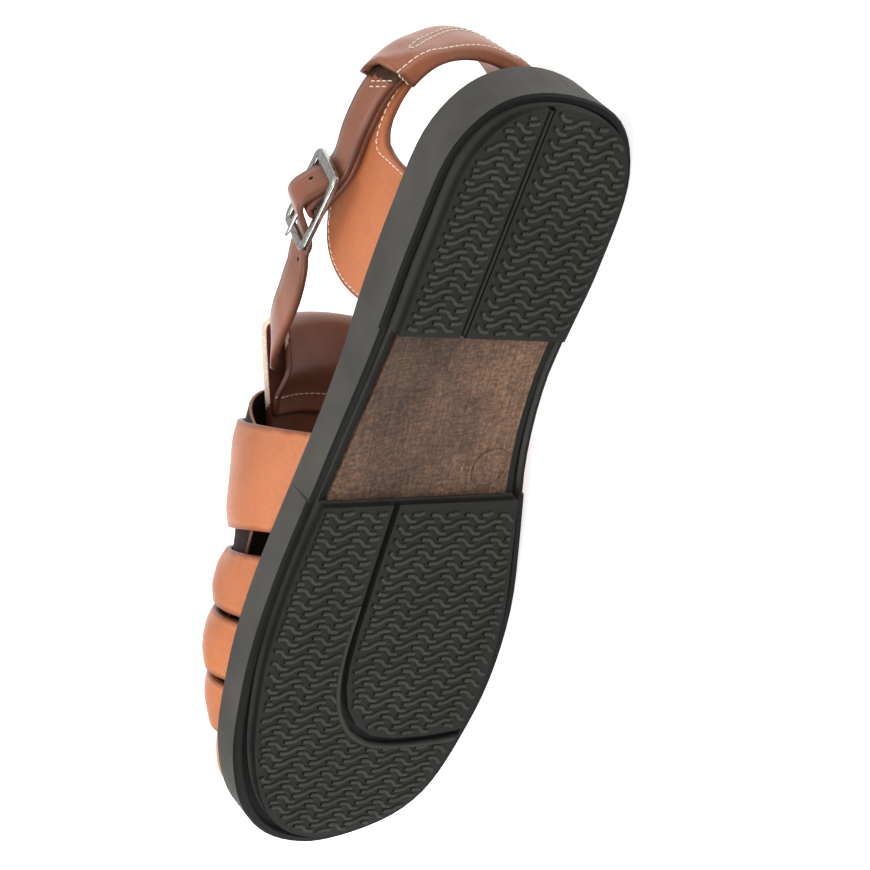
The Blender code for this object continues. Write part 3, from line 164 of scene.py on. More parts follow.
# Pointed loop sewn on the heel band, as across and height, upper and lower line.
LOOP_UPPER = ((-28.8, 51.3), (-24.8, 53.3), (-20.6, 55.0), (-12.5, 58.0), (-5.6, 60.2), (-1.0, 60.7),
              (4.0, 60.2), (11.0, 58.0), (19.0, 55.0), (23.0, 53.3), (27.0, 51.3))
LOOP_LOWER = ((-28.8, 51.3), (-27.4, 50.0), (-24.4, 50.6), (-20.1, 52.6), (-11.9, 56.0), (-5.6, 58.0),
              (-1.0, 58.4), (4.0, 58.0), (10.0, 56.0), (18.0, 52.6), (22.6, 50.6), (25.6, 50.0),
              (27.0, 51.3))
BAND_LOW = 43.4
BAND_RISE = 4.2
BAND_ROW_RISE = 0.8
BAND_TURN = 1.52
BAND_SIGHT = 70.0
BAND_MIDDLE = 30.0

# Curve of the heel band's back in shoe millimetres: how far along it starts, how far across it
# has come forward and by how much, and the middle that it is looked at from.
BACK_START = 10.2
BACK_HALF = 28.8
BACK_FORWARD = 4.7
BACK_MIDDLE = 40.0
BACK_SIGHT = 20.0

# Rows sewn through the straps just inside the heel band's mouth, from end to end.
MOUTH_ROWS = (((-37.0, 29.6, 56.0), (-36.2, 24.6, 46.5)), ((-37.4, 31.2, 55.2), (-36.6, 26.2, 45.6)))
MOUTH_SIGHT = 20.0

# Row sewn through the instep flap, its place along the shoe and its ends across it, and the
# heights that it is looked for from and towards.
FLAP_ROW = 150.6
FLAP_ENDS = (-16.0, 22.0)
FLAP_SIGHT = (40.0, 90.0)

# Mouth of the heel band: a point on its low end as along and height, and its arch.
MOUTH_LOW = (24.8, 44.6)
MOUTH_SLOPE = 0.27
MOUTH_BACK = (0.60, -0.80, 0.0)
MOUTH_MIDDLE = 53.2
MOUTH_HALF = 7.6
MOUTH_REACH = 12.0
MOUTH_DRAWN = 5.5

# Where the instep strap's raw edge starts.
RAW_EDGE_ACROSS = -16.4
RAW_EDGE_FACING = 0.42
RAW_EDGE_ALONG = 163.0
RAW_EDGE_WIDTH = 0.0042

# Strap holes on the ankle strap and the way they are looked for, in shoe millimetres, and how
# far a punch goes in and stands out, in metres.
STRAP_HOLES = ((-43.0, 65.0, 56.4), (-38.7, 92.6, 53.5))
HOLE_SIGHT = (-30.0, 0.0, -12.0)
HOLE_DEEP = 0.0035
HOLE_PROUD = 0.0015

# Buckle, the same as in its solids, with its bars flat.
BUCKLE_CENTRE = (-40.6, 72.0, 55.2)
BUCKLE_TURN = 7.5
BUCKLE_LEAN = 15.0
BUCKLE_LONG = 29.0
BUCKLE_WIDE = 20.8
BUCKLE_BAR = 2.9
BUCKLE_BAR_DEEP = 2.3
BUCKLE_BEVEL = 0.5
BUCKLE_SOFT = 0.16
BUCKLE_CORNER = 2.0
BUCKLE_REAR_WIDER = 0.3
POST_RADIUS = 1.15

# Lining under the vamp bands: its rows from the heel side to the toe side.
LINING_ROWS = (
    # ridge along, ridge across, ridge height, lateral foot along, lateral foot across, bulge
    (153.0, -1.0, 76.6, 153.6, -35.4, 0.6),
    (160.0, 0.0, 76.4, 158.0, -35.2, 0.2),
    (168.0, 1.0, 75.4, 164.0, -35.0, 0.0),
    (185.0, 4.0, 65.6, 172.0, -35.4, 0.0),
    (204.0, 7.0, 55.8, 184.0, -35.6, 0.2),
    (222.0, 10.0, 51.4, 208.0, -34.4, 0.2),
    (238.0, 12.0, 46.8, 231.0, -30.0, 0.4),
    (248.0, 13.2, 42.8, 246.0, -25.6, 0.2),
)
LINING_FOOT = 20.0
LINING_FULLNESS = 2.45
LINING_LOW = 0.3
LINING_MEDIAL_FOOT = 44.0
LINING_MEDIAL_LOW = 0.95
LINING_THICK = 1.2
LINING_BEVEL = 0.3

# Soft creases in the leather: piece, from, to, depth (a ridge where negative) and half width.
CREASES = (
    ("upper", (-40.0, 50.0, 52.0), (-40.0, 62.0, 30.0), 0.35, 3.4),
    ("upper", (-40.0, 58.0, 55.0), (-40.0, 78.0, 40.0), -0.25, 3.0),
    ("upper", (-40.0, 146.0, 30.0), (-36.0, 158.0, 62.0), 0.4, 3.6),
    ("upper", (-42.0, 156.0, 24.0), (-38.0, 166.0, 54.0), -0.3, 3.2),
    ("upper", (-42.0, 188.0, 26.0), (-36.0, 196.0, 44.0), 0.35, 2.8),
    ("upper", (-40.0, 214.0, 26.0), (-33.0, 221.0, 42.0), 0.35, 2.6),
    ("upper", (56.0, 196.0, 30.0), (44.0, 206.0, 50.0), 0.4, 3.0),
    ("upper", (50.0, 150.0, 30.0), (34.0, 162.0, 62.0), 0.4, 3.4),
    ("instep_strap", (-16.0, 140.0, 78.0), (14.0, 146.0, 76.0), 0.4, 3.0),
    ("instep_strap", (-12.0, 152.0, 72.0), (16.0, 158.0, 72.0), -0.3, 2.8),
    ("heel_band", (-44.0, 44.0, 53.5), (-29.0, 17.0, 52.5), -3.0, 5.2),
    ("heel_band", (-38.0, 24.0, 50.0), (-27.0, 15.0, 47.6), -0.7, 2.2),
    ("heel_band", (-36.0, 22.0, 55.0), (-22.0, 12.5, 51.0), 0.45, 2.6),
    ("heel_band", (-36.0, 25.0, 47.0), (-26.0, 15.5, 46.0), 0.35, 1.8),
    ("ankle_strap", (-30.0, 119.0, 60.0), (-33.0, 108.0, 60.0), 0.3, 2.4),
)


def to_world(points):
    """Shoe millimetres to world metres."""
    return [LIE @ (Vector(p) * MM) for p in points]


def spring(along):
    """Rise of the toe above the tread plane, millimetres."""
    return TOE_SPRING_RISE * max(along - TOE_SPRING_START, 0.0) ** 2


def colour_property(name, description, default):
    """A colour setting."""
    return bpy.props.FloatVectorProperty(name=name, description=description, default=default,
                                         size=3, min=0.0, max=1.0, subtype="COLOR")


def length_property(name, description, default):
    """A length setting in metres."""
    return bpy.props.FloatProperty(name=name, description=description, default=default,
                                   min=0.0, unit="LENGTH", subtype="DISTANCE")


class SandalColours(bpy.types.PropertyGroup):
    """Colours of the sandal's finishes."""

    leather: colour_property("Leather", "Grain side of the leather", (0.43, 0.142, 0.056))
    leather_dark: colour_property("Leather shade", "Darker clouds in the leather", (0.33, 0.10, 0.038))
    strap: colour_property("Strap leather", "Grain side of the straps", (0.24, 0.085, 0.045))
    flesh: colour_property("Leather back", "Flesh side and lining", (0.055, 0.024, 0.014))
    # Painted shade: the flesh side inside the vamp bands and the lining is darkened far below the plain
    # back to stand in for the shade inside the shoe.
    shaded_flesh: colour_property("Dark lining", "Inside of the vamp bands", (0.017, 0.0105, 0.008))
    cut_edge: colour_property("Cut edge", "Waxed cut edge of the leather", (0.30, 0.13, 0.08))
    raw_edge: colour_property("Raw edge", "Pale raw edge of the instep strap", (0.62, 0.47, 0.36))
    dark_edge: colour_property("Strap edge", "Burnished edge of the straps", (0.085, 0.035, 0.02))
    rubber: colour_property("Rubber", "Wall of the sole", (0.056, 0.054, 0.048))
    # Painted light on one rubber: the tread floor is darkened as painted shade between the bars, and the
    # bar tops are lighter as painted highlight.
    tread: colour_property("Tread", "Floor between the tread bars", (0.0068, 0.0063, 0.0053))
    bar_top_lit: colour_property("Bar top", "Lit tops of the tread bars", (0.029, 0.0275, 0.0235))
    # Painted shade: near black for the deep groove between the wall and the tread, standing in for its
    # shade.
    channel: colour_property("Channel", "Channel between the wall and the tread", (0.0028, 0.0026, 0.0023))
    board: colour_property("Waist board", "Board in the sole's waist", (0.066, 0.036, 0.0215))
    thread: colour_property("Thread", "Stitching thread", (0.66, 0.56, 0.44))
    metal: colour_property("Buckle", "Satin metal of the buckle", (0.40, 0.395, 0.375))


class SandalSizes(bpy.types.PropertyGroup):
    """Sizes of the sandal's fine detail."""

    stitch_length: length_property("Stitch length", "Length of one stitch", 0.0017)
    stitch_pitch: length_property("Stitch pitch", "Distance from stitch to stitch", 0.0024)
    thread_radius: length_property("Thread radius", "Radius of the thread", 0.00021)
    tread_pitch: length_property("Tread pitch", "Distance between rows of tread bars", 0.00471)
    tread_period: length_property("Tread period", "Width of one step of a tread row", 0.0146)
    bar_radius: length_property("Bar radius", "Radius of the round tread bars", 0.00092)
    bar_sink: length_property("Bar sink", "How deep a bar's middle lies in the tread", 0.00022)
    hole_radius: length_property("Hole radius", "Radius of a strap hole", 0.00075)
    ring_radius: length_property("Ring radius", "Radius of the plain ring on the waist", 0.007)


def colours():
    """The colour settings."""
    return bpy.context.scene.sandal_colours


def sizes():
    """The size settings."""
    return bpy.context.scene.sandal_sizes


class Nodes:
    """Short calls for building a node tree."""

    def __init__(self, tree):
        self.tree = tree

    def add(self, kind, inputs=None, **values):
        """A node with its own values set and its inputs fed."""
        node = self.tree.nodes.new(kind)
        for key, value in values.items():
            setattr(node, key, value)
        for key, value in (inputs or {}).items():
            self.feed(node.inputs[key], value)
        return node

    def feed(self, socket, value):
        """Link an output to a socket, or set the socket's own value."""
        if isinstance(value, bpy.types.NodeSocket):
            self.tree.links.new(value, socket)
        else:
            socket.default_value = value

    def math(self, operation, first, second):
        """One sum on two numbers or outputs."""
        return self.add("ShaderNodeMath", {0: first, 1: second}, operation=operation).outputs["Value"]

    def span(self, value, low, high):
        """A factor that is 0 up to the low value and 1 from the high one."""
        node = self.add("ShaderNodeMapRange", {"Value": value, "From Min": low, "From Max": high})
        return node.outputs["Result"]

    def noise(self, coordinates, scale, detail=3.0, stretch=None):
        """A noise factor; scale is in features per metre."""
        if stretch:
            mapping = self.add("ShaderNodeMapping", {"Vector": coordinates, "Scale": stretch})
            coordinates = mapping.outputs["Vector"]
        inputs = {"Vector": coordinates, "Scale": scale, "Detail": detail}
        return self.add("ShaderNodeTexNoise", inputs).outputs["Fac"]

    def ramp(self, factor, *stops):
        """A colour ramp from positions and colours."""
        node = self.add("ShaderNodeValToRGB", {"Fac": factor})
        elements = node.color_ramp.elements
        while len(elements) < len(stops):
            elements.new(0.5)
        for element, (place, colour) in zip(elements, stops):
            element.position = place
            element.color = (*colour, 1.0)
        return node.outputs["Color"]

    def mix(self, factor, first, second, mode="MULTIPLY"):
        """Mix two colours; either may be a plain colour or an output."""
        node = self.add("ShaderNodeMix", {0: factor}, data_type="RGBA", blend_type=mode)
        for key, value in ((6, first), (7, second)):
            plain = not isinstance(value, bpy.types.NodeSocket)
            self.feed(node.inputs[key], (*value, 1.0) if plain else value)
        return node.outputs[2]

    def bump(self, shader, *layers):
        """Stack bump layers: height output, strength and depth in metres."""
        inputs = {}
        for height, strength, depth in layers:
            inputs.update({"Height": height, "Strength": strength, "Distance": depth})
            inputs["Normal"] = self.add("ShaderNodeBump", inputs).outputs["Normal"]
        self.feed(shader.inputs["Normal"], inputs["Normal"])


def material(name, roughness, metallic=0.0, specular=0.5):
    """A new Principled material with its node helper, its shader and its object coordinates."""
    made = bpy.data.materials.new(name)
    made.use_nodes = True
    nodes = Nodes(made.node_tree)
    shader = made.node_tree.nodes["Principled BSDF"]
    shader.inputs["Roughness"].default_value = roughness
    shader.inputs["Metallic"].default_value = metallic
    shader.inputs["Specular IOR Level"].default_value = specular
    return made, nodes, shader, nodes.add("ShaderNodeTexCoord").outputs["Object"]


def scaled(colour, factor):
    """A colour made lighter or darker."""
    return tuple(min(c * factor, 1.0) for c in colour)


def greys(*values):
    """Plain grey colours from their brightness."""
    return [(value,) * 3 for value in values]


def leather_material(name, base, shade, roughness=0.46):
    """Smooth waxed leather: cloudy colour, fine pores, faint creasing and darker rims."""
    made, nodes, shader, place = material(name, roughness, specular=0.36)
    clouds = nodes.noise(place, 24.0, 3.0)
    specks = nodes.ramp(nodes.noise(place, 900.0, 2.0), (0.35, (0.93, 0.92, 0.91)),
                        (0.65, (1.04, 1.03, 1.03)))
    marks = nodes.ramp(nodes.noise(place, 210.0, 6.0), (0.25, (0.62, 0.56, 0.52)),
                       (0.31, (1.0, 1.0, 1.0)))
    rim = nodes.add("ShaderNodeAttribute", attribute_name="rim").outputs["Fac"]
    # Darker right at the cut edges and a little lighter a short way in, from the rim attribute.
    rim_tone = nodes.ramp(rim, (0.0, (0.42, 0.36, 0.34)), (0.3, (0.74, 0.70, 0.68)), (0.6, (1.06, 1.08, 1.1)),
                      (1.0, (1.0, 1.0, 1.0)))
    body = nodes.mix(1.0, nodes.ramp(clouds, (0.28, shade), (0.58, base)), specks)
    body = nodes.mix(0.85, nodes.mix(0.5, body, marks), rim_tone)
    nodes.feed(shader.inputs["Base Color"], body)
    matt, shiny = greys(roughness + 0.07, roughness - 0.05)
    nodes.feed(shader.inputs["Roughness"], nodes.ramp(clouds, (0.3, matt), (0.7, shiny)))
    pores = nodes.add("ShaderNodeTexVoronoi", {"Scale": 1500.0, "Vector": place},
                      feature="DISTANCE_TO_EDGE")
    creases = nodes.noise(place, 160.0, 5.0, (1.0, 0.45, 1.0))
    nodes.bump(shader, (pores.outputs["Distance"], 0.16, 0.0002), (creases, 0.4, 0.0005))
    shader.inputs["Coat Weight"].default_value = 0.08
    shader.inputs["Coat Roughness"].default_value = 0.3
    return made


def fibre_material(name, base, roughness, fibre, shares, relief, specular=0.5, clouded=False):
    """Fine fibres in one colour: their noise, their darker and lighter share, and their bump."""
    made, nodes, shader, place = material(name, roughness, specular=specular)
    fibres = nodes.noise(place, *fibre)
    body = nodes.ramp(fibres, (0.3, scaled(base, shares[0])), (0.7, scaled(base, shares[1])))
    if clouded:
        clouds = nodes.ramp(nodes.noise(place, 40.0, 4.0), (0.35, (0.8, 0.8, 0.8)),
                            (0.65, (1.15, 1.12, 1.1)))
        body = nodes.mix(1.0, body, clouds)
    nodes.feed(shader.inputs["Base Color"], body)
    nodes.bump(shader, (fibres, *relief))
    return made


def flesh_material(name, base):
    """Napped back of the leather."""
    return fibre_material(name, base, 0.8, (700.0, 5.0), (0.75, 1.25), (0.3, 0.0003), 0.25, True)


def edge_material(name, base):
    """Cut edge of the leather with its fibres."""
    return fibre_material(name, base, 0.7, (1300.0, 4.0), (0.7, 1.2), (0.5, 0.0003))


def along_shoe(nodes, vector, direction, start):
    """How far a vector output reaches along one of the shoe's directions, past a start."""
    inputs = {0: vector, 1: LIE.to_3x3() @ Vector(direction)}
    reach = nodes.add("ShaderNodeVectorMath", inputs, operation="DOT_PRODUCT").outputs["Value"]
    return nodes.math("SUBTRACT", reach, start)


def height_above_tread(nodes, place):
    """Height above the tread in metres, its toe spring taken off, from object coordinates."""
    turn = LIE.to_3x3()
    floor, heel = (Vector(LIE_SHIFT).dot(turn @ Vector(axis)) for axis in (SHOE_UP, SHOE_AHEAD))
    past = along_shoe(nodes, place, SHOE_AHEAD, heel + TOE_SPRING_START * MM)
    square = nodes.math("POWER", nodes.math("MAXIMUM", past, 0.0), 2.0)
    rise = nodes.math("MULTIPLY", square, TOE_SPRING_RISE / MM)
    return nodes.math("SUBTRACT", along_shoe(nodes, place, SHOE_UP, floor), rise)


def rubber_material():
    """Matt moulded rubber: painted shade on the floor between the tread bars, lighter bar tops as painted
    highlight, and near-black painted shade in the groove between the wall and the tread.
    """
    made, nodes, shader, place = material("rubber_sole", 0.68, specular=0.16)
    height = height_above_tread(nodes, place)
    # Painted shade and highlight: bar tops take the lighter colour, the floor between the bars the darker
    # one.
    body = nodes.mix(nodes.span(height, -0.0007, -0.0001), colours().bar_top_lit, colours().tread, "MIX")
    body = nodes.mix(nodes.span(height, 0.0018, 0.0045), body, colours().rubber, "MIX")
    # Painted shade: downward faces just above the tread floor, in the groove beside the wall, are painted
    # near black.
    normal = nodes.add("ShaderNodeNewGeometry").outputs["True Normal"]
    downward = nodes.span(along_shoe(nodes, normal, SHOE_DOWN, 0.0), 0.15, 0.4)
    channel_shade_mask = nodes.math("MULTIPLY", downward, nodes.span(height, 0.0007, 0.0013))
    body = nodes.mix(channel_shade_mask, body, colours().channel, "MIX")
    scuffs = nodes.ramp(nodes.noise(place, 55.0, 6.0), (0.35, (0.82, 0.82, 0.82)),
                        (0.7, (1.12, 1.12, 1.1)))
    nodes.feed(shader.inputs["Base Color"], nodes.mix(1.0, body, scuffs))
    nodes.bump(shader, (nodes.noise(place, 1600.0, 3.0), 0.22, 0.0002),
               (nodes.noise(place, 220.0, 4.0), 0.12, 0.0006))
    return made


def board_material():
    """Mottled brown board with fine lines both ways and rubbed patches."""
    made, nodes, shader, place = material("waist_board_brown", 0.62, specular=0.2)
    base = colours().board
    body = nodes.ramp(nodes.noise(place, 20.0, 5.0), (0.34, scaled(base, 0.5)), (0.48, base),
                      (0.64, scaled(base, 1.7)))
    flecks = nodes.noise(place, 850.0, 6.0)
    rubbed = nodes.ramp(flecks, (0.36, (0.58, 0.57, 0.56)), (0.52, (1.0, 1.0, 1.0)),
                        (0.66, (1.5, 1.44, 1.38)))
    body = nodes.mix(0.9, body, rubbed)
    lengthwise = nodes.noise(place, 1500.0, 4.0, (0.06, 1.0, 1.0))
    crosswise = nodes.noise(place, 1500.0, 4.0, (1.0, 1.0, 0.06))
    for lines in (lengthwise, crosswise):
        woven = nodes.ramp(lines, (0.36, (0.70, 0.69, 0.68)), (0.64, (1.26, 1.25, 1.24)))
        body = nodes.mix(0.8, body, woven)
    nodes.feed(shader.inputs["Base Color"], body)
    nodes.bump(shader, (lengthwise, 0.25, 0.0002), (flecks, 0.35, 0.0003))
    return made


def metal_material():
    """Satin metal with fine drawn marks."""
    made, nodes, shader, place = material("buckle_satin", 0.27, 1.0)
    marks = nodes.noise(place, 800.0, 3.0, (0.2, 1.0, 1.0))
    base = colours().metal
    body = nodes.ramp(marks, (0.3, scaled(base, 0.82)), (0.7, scaled(base, 1.15)))
    nodes.feed(shader.inputs["Base Color"], body)
    smooth, matt = greys(0.2, 0.36)
    nodes.feed(shader.inputs["Roughness"], nodes.ramp(marks, (0.3, smooth), (0.7, matt)))
    nodes.bump(shader, (marks, 0.1, 0.0001))
    return made


def thread_material():
    """Waxed thread with its twist."""
    return fibre_material("thread_cream", colours().thread, 0.6, (2600.0, 2.0), (0.75, 1.1), (0.4, 0.0002))


MATERIALS = {}
TREES = {}


def finish_named(name):
    """A finish by name, made once."""
    if name not in MATERIALS:
        shades = colours()
        makers = {
            "leather": lambda: leather_material("leather_tan", shades.leather, shades.leather_dark),
            "strap": lambda: leather_material("leather_strap", shades.strap,
                                              scaled(shades.strap, 0.62), 0.4),
            "back": lambda: flesh_material("leather_back", shades.flesh),
            "shaded_back": lambda: flesh_material("leather_dark_back", shades.shaded_flesh),
            "edge": lambda: edge_material("leather_edge", shades.cut_edge),
            "raw_edge": lambda: edge_material("leather_raw_edge", shades.raw_edge),
            "dark_edge": lambda: edge_material("leather_dark_edge", shades.dark_edge),
            "rubber": rubber_material,
            "board": board_material,
            "metal": metal_material,
            "thread": thread_material,
        }
        MATERIALS[name] = makers[name]()
    return MATERIALS[name]


def work_piece(name, data):
    """A piece that is only worked on, never shown."""
    piece = bpy.data.objects.new(name + "_work", data)
    bpy.context.scene.collection.objects.link(piece)
    return piece


def settle(name, mesh, slot_name, *nodes):
    """Make a finished piece ride on the shoe and stand for its nodes."""
    piece = bpy.data.objects.new(name, mesh)
    bpy.context.scene.collection.objects.link(piece)
    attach(piece, "root")
    if nodes:
        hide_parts(*nodes)


def evaluated_mesh(piece):
    """The piece's mesh with its modifiers applied; the piece itself is dropped."""
    bpy.context.view_layer.update()
    graph = bpy.context.evaluated_depsgraph_get()
    mesh = bpy.data.meshes.new_from_object(piece.evaluated_get(graph))
    bpy.data.objects.remove(piece)
    return mesh


def as_bmesh(*meshes):
    """A bmesh that holds the meshes."""
    work = bmesh.new()
    for mesh in meshes:
        work.from_mesh(mesh)
    return work


def face_outward(mesh):
    """Turn a closed mesh's faces outward and shade them smooth."""
    work = as_bmesh(mesh)
    bmesh.ops.recalc_face_normals(work, faces=work.faces)
    work.to_mesh(mesh)
    work.free()
    mesh.shade_smooth()
    return mesh


def smooth_regions(work, limit):
    """Face regions bounded by edges sharper than the limit."""
    region = {}
    regions = []
    for face in work.faces:
        if face in region:
            continue
        members = [face]
        region[face] = len(regions)
        for current in members:
            for edge in current.edges:
                if len(edge.link_faces) != 2 or edge.calc_face_angle(0.0) > limit:
                    continue
                for other in edge.link_faces:
                    if other not in region:
                        region[other] = len(regions)
                        members.append(other)
        regions.append(members)
    return regions


def leather_mesh(node, levels=2, crease=0.75, edge_width=EDGE_WIDTH, sharp=SHARP_EDGE):
    """A smooth copy of a leather node, with its grain side, its back and its cut edges told apart."""
    work = as_bmesh(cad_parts[node].data)
    bmesh.ops.remove_doubles(work, verts=work.verts, dist=1e-6)
    bmesh.ops.join_triangles(work, faces=work.faces, angle_face_threshold=math.radians(30),
                             angle_shape_threshold=math.radians(75))
    layer = work.edges.layers.float.new("crease_edge")
    limit = math.radians(sharp)
    if node == "upper":
        soften_rims(work, limit)
    for edge in work.edges:
        if edge.calc_face_angle(0.0) > limit:
            edge[layer] = crease
    for members in smooth_regions(work, limit):
        area = sum(face.calc_area() for face in members)
        rim = sum(edge.calc_length() for face in members for edge in face.edges
                  if edge.calc_face_angle(0.0) > limit)
        facing = sum(face.calc_area() * face.normal.dot(from_foot(face.calc_center_median()))
                     for face in members)
        if 2.0 * area / max(rim, 1e-9) < edge_width:
            index = EDGE_SLOT
        else:
            index = GRAIN_SLOT if facing > 0 else BACK_SLOT
        for face in members:
            face.material_index = index
            face.smooth = True
    mesh = bpy.data.meshes.new(node + "_smooth")
    work.to_mesh(mesh)
    work.free()
    piece = work_piece(node, mesh)
    modifier = piece.modifiers.new("smooth", "SUBSURF")
    modifier.levels = levels
    modifier.render_levels = levels
    mesh = evaluated_mesh(piece)
    crease_leather(mesh, node)
    mark_rims(mesh)
    return mesh


def soften_rims(work, limit):
    """Even out the cut edges' curves above the sole."""
    chains = {}
    for edge in work.edges:
        if edge.calc_face_angle(0.0) > limit:
            first, second = edge.verts
            chains.setdefault(first, []).append(second)
            chains.setdefault(second, []).append(first)
    free = {}
    for vertex, others in chains.items():
        along = others if len(others) == 2 else [other for other in others if len(chains[other]) == 2]
        if len(along) == 2 and (UNLIE @ vertex.co).z > RIM_SMOOTH_FROM * MM:
            free[vertex] = along
    corner = [vertex for vertex in free
              if (((UNLIE @ vertex.co).yz / MM) - Vector(REAR_CORNER)).length < REAR_CORNER_REACH]
    for turn in range(REAR_CORNER_ROUNDS):
        moving = free if turn < RIM_SMOOTH_ROUNDS else corner
        places = {vertex: (free[vertex][0].co + free[vertex][1].co) / 2 for vertex in moving}
        for vertex, place in places.items():
            vertex.co = vertex.co.lerp(place, RIM_SMOOTH_SHARE)


def crease_leather(mesh, node):
    """Press the node's soft creases into its mesh along the normals."""
    lines = [row[1:] for row in CREASES if row[0] == node]
    if not lines:
        return
    shoe = [(UNLIE @ vertex.co) / MM for vertex in mesh.vertices]
    moves = [0.0] * len(shoe)
    for start, end, depth, half in lines:
        start = Vector(start)
        run = Vector(end) - start
        for k, place in enumerate(shoe):
            share = min(max((place - start).dot(run) / run.length_squared, 0.0), 1.0)
            away = (place - start - run * share).length / half
            if away < 3.0:
                fade = min(4.0 * share, 4.0 * (1.0 - share), 1.0)
                moves[k] -= depth * fade * math.exp(-away * away)
    normals = [vertex.normal.copy() for vertex in mesh.vertices]
    sides = {vertex: 1.0 if polygon.material_index == GRAIN_SLOT else -1.0
             for polygon in mesh.polygons if polygon.material_index != EDGE_SLOT
             for vertex in polygon.vertices}
    for vertex, normal, move in zip(mesh.vertices, normals, moves):
        if move:
            vertex.co += normal * move * sides.get(vertex.index, 0.0) * MM


def mark_rims(mesh):
    """Write each vertex's nearness to a cut edge as an attribute, 0 at the edge and 1 well away."""
    slots = {}
    for polygon in mesh.polygons:
        for vertex in polygon.vertices:
            slots.setdefault(vertex, set()).add(polygon.material_index)
    rims = [vertex for vertex, found in slots.items() if len(found) > 1 or EDGE_SLOT in found]
    tree = KDTree(max(len(rims), 1))
    for vertex in rims:
        tree.insert(mesh.vertices[vertex].co, vertex)
    tree.balance()
    far = [tree.find(vertex.co)[2] if rims else RIM_FADE for vertex in mesh.vertices]
    values = np.minimum(np.array(far) / RIM_FADE, 1.0).astype(np.float32)
    mesh.attributes.new("rim", "FLOAT", "POINT").data.foreach_set("value", values)


def from_foot(point):
    """Direction away from the middle of the foot, in world axes."""
    shoe = UNLIE @ point
    middle = Vector((FOOT_ACROSS * MM, shoe.y, FOOT_UP * MM))
    if shoe.y < HEEL_MIDDLE[1] * MM:
        middle = Vector(HEEL_MIDDLE) * MM
    return LIE.to_3x3() @ (shoe - middle)


def dress(mesh, *finishes):
    """Give a mesh its finishes in slot order."""
    mesh.materials.clear()
    for name in finishes:
        mesh.materials.append(finish_named(name))
    return mesh


def hermite(t, here, leaving, after, arriving):
    """A place on the smooth stretch between two places with their slopes."""
    return ((2 * t ** 3 - 3 * t * t + 1) * here + (t ** 3 - 2 * t * t + t) * leaving
            + (3 * t * t - 2 * t ** 3) * after + (t ** 3 - t * t) * arriving)


def closed_curve(rows, samples=16):
    """A closed curve through rows of numbers."""
    rows = np.asarray(rows, dtype=float)
    count = len(rows)
    chords = np.linalg.norm(np.diff(rows[:, :2], axis=0, append=rows[:1, :2]), axis=1) ** 0.5
    out = []
    for i in range(count):
        before, here, after, later = (rows[(i + k) % count] for k in (-1, 0, 1, 2))
        d0, d1, d2 = (chords[(i + k) % count] for k in (-1, 0, 1))
        first = ((here - before) / d0 - (after - before) / (d0 + d1) + (after - here) / d1) * d1
        second = ((after - here) / d1 - (later - here) / (d1 + d2) + (later - after) / d2) * d1
        out.extend(hermite(s / samples, here, first, after, second) for s in range(samples))
    return np.array(out)


def smooth_line(rows, steps):
    """A denser line through rows of numbers."""
    rows = np.asarray(rows, dtype=float)
    slopes = np.gradient(rows, axis=0)
    out = []
    for k in range(len(rows) - 1):
        out.extend(hermite(s / steps, rows[k], slopes[k], rows[k + 1], slopes[k + 1])
                   for s in range(steps))
    return np.array([*out, rows[-1]])


def tread_edge(extra):
    """Tread outline, moved in by the tread inset and something more, millimetres."""
    curve = closed_curve(SOLE_OUTLINE)
    run = np.roll(curve[:, :2], -1, axis=0) - np.roll(curve[:, :2], 1, axis=0)
    run /= np.linalg.norm(run, axis=1)[:, None]
    inward = np.stack((run[:, 1], -run[:, 0]), axis=1)
    return curve[:, :2] + inward * (curve[:, 2] + extra)[:, None]


def inside(loop, x, y):
    """Whether a point is inside a closed loop."""
    x1, y1 = loop[:, 0], loop[:, 1]
    x2, y2 = np.roll(x1, -1), np.roll(y1, -1)
    crossing = (y1 > y) != (y2 > y)
    at = x1 + (y - y1) / np.where(y2 == y1, 1e-9, y2 - y1) * (x2 - x1)
    return bool(np.sum(crossing & (x < at)) % 2)


def line_distance(line, x, y):
    """Distance from a point to a line of segments."""
    best = 1e9
    for (ax, ay), (bx, by) in zip(line, line[1:]):
        t = ((x - ax) * (bx - ax) + (y - ay) * (by - ay)) / ((bx - ax) ** 2 + (by - ay) ** 2)
        t = min(max(t, 0.0), 1.0)
        best = min(best, math.hypot(x - ax - t * (bx - ax), y - ay - t * (by - ay)))
    return best


def new_tree(name, fields):
    """A node tree with a geometry and named fields as inputs: the tree, its nodes and its start."""
    tree = bpy.data.node_groups.new(name, "GeometryNodeTree")
    for field, kind in (("Geometry", "Geometry"), *fields, ("Finish", "Material")):
        tree.interface.new_socket(field, in_out="INPUT", socket_type="NodeSocket" + kind)
    tree.interface.new_socket("Geometry", in_out="OUTPUT", socket_type="NodeSocketGeometry")
    nodes = Nodes(tree)
    return tree, nodes, nodes.add("NodeGroupInput").outputs


def end_tree(nodes, start, made):
    """End a node tree: instances made real, then the finish."""
    real = nodes.add("GeometryNodeRealizeInstances", {"Geometry": made})
    inputs = {"Geometry": real.outputs["Geometry"], "Material": start["Finish"]}
    finished = nodes.add("GeometryNodeSetMaterial", inputs)
    nodes.add("NodeGroupOutput", {"Geometry": finished.outputs["Geometry"]})


def instances_tree():
    """Node tree that sets a shape on every point, turned by the point's own turn attribute."""
    tree, nodes, start = new_tree("set_on_points", (("Shape", "Object"),))
    shape = nodes.add("GeometryNodeObjectInfo", {"Object": start["Shape"]})
    turn = nodes.add("GeometryNodeInputNamedAttribute", data_type="FLOAT_VECTOR")
    turn.inputs["Name"].default_value = "turn"
    rotate = nodes.add("FunctionNodeEulerToRotation", {"Euler": turn.outputs["Attribute"]})
    spread = nodes.add("GeometryNodeInstanceOnPoints", {
        "Points": start["Geometry"],
        "Instance": shape.outputs["Geometry"],
        "Rotation": rotate.outputs["Rotation"],
    })
    end_tree(nodes, start, spread.outputs["Instances"])
    return tree


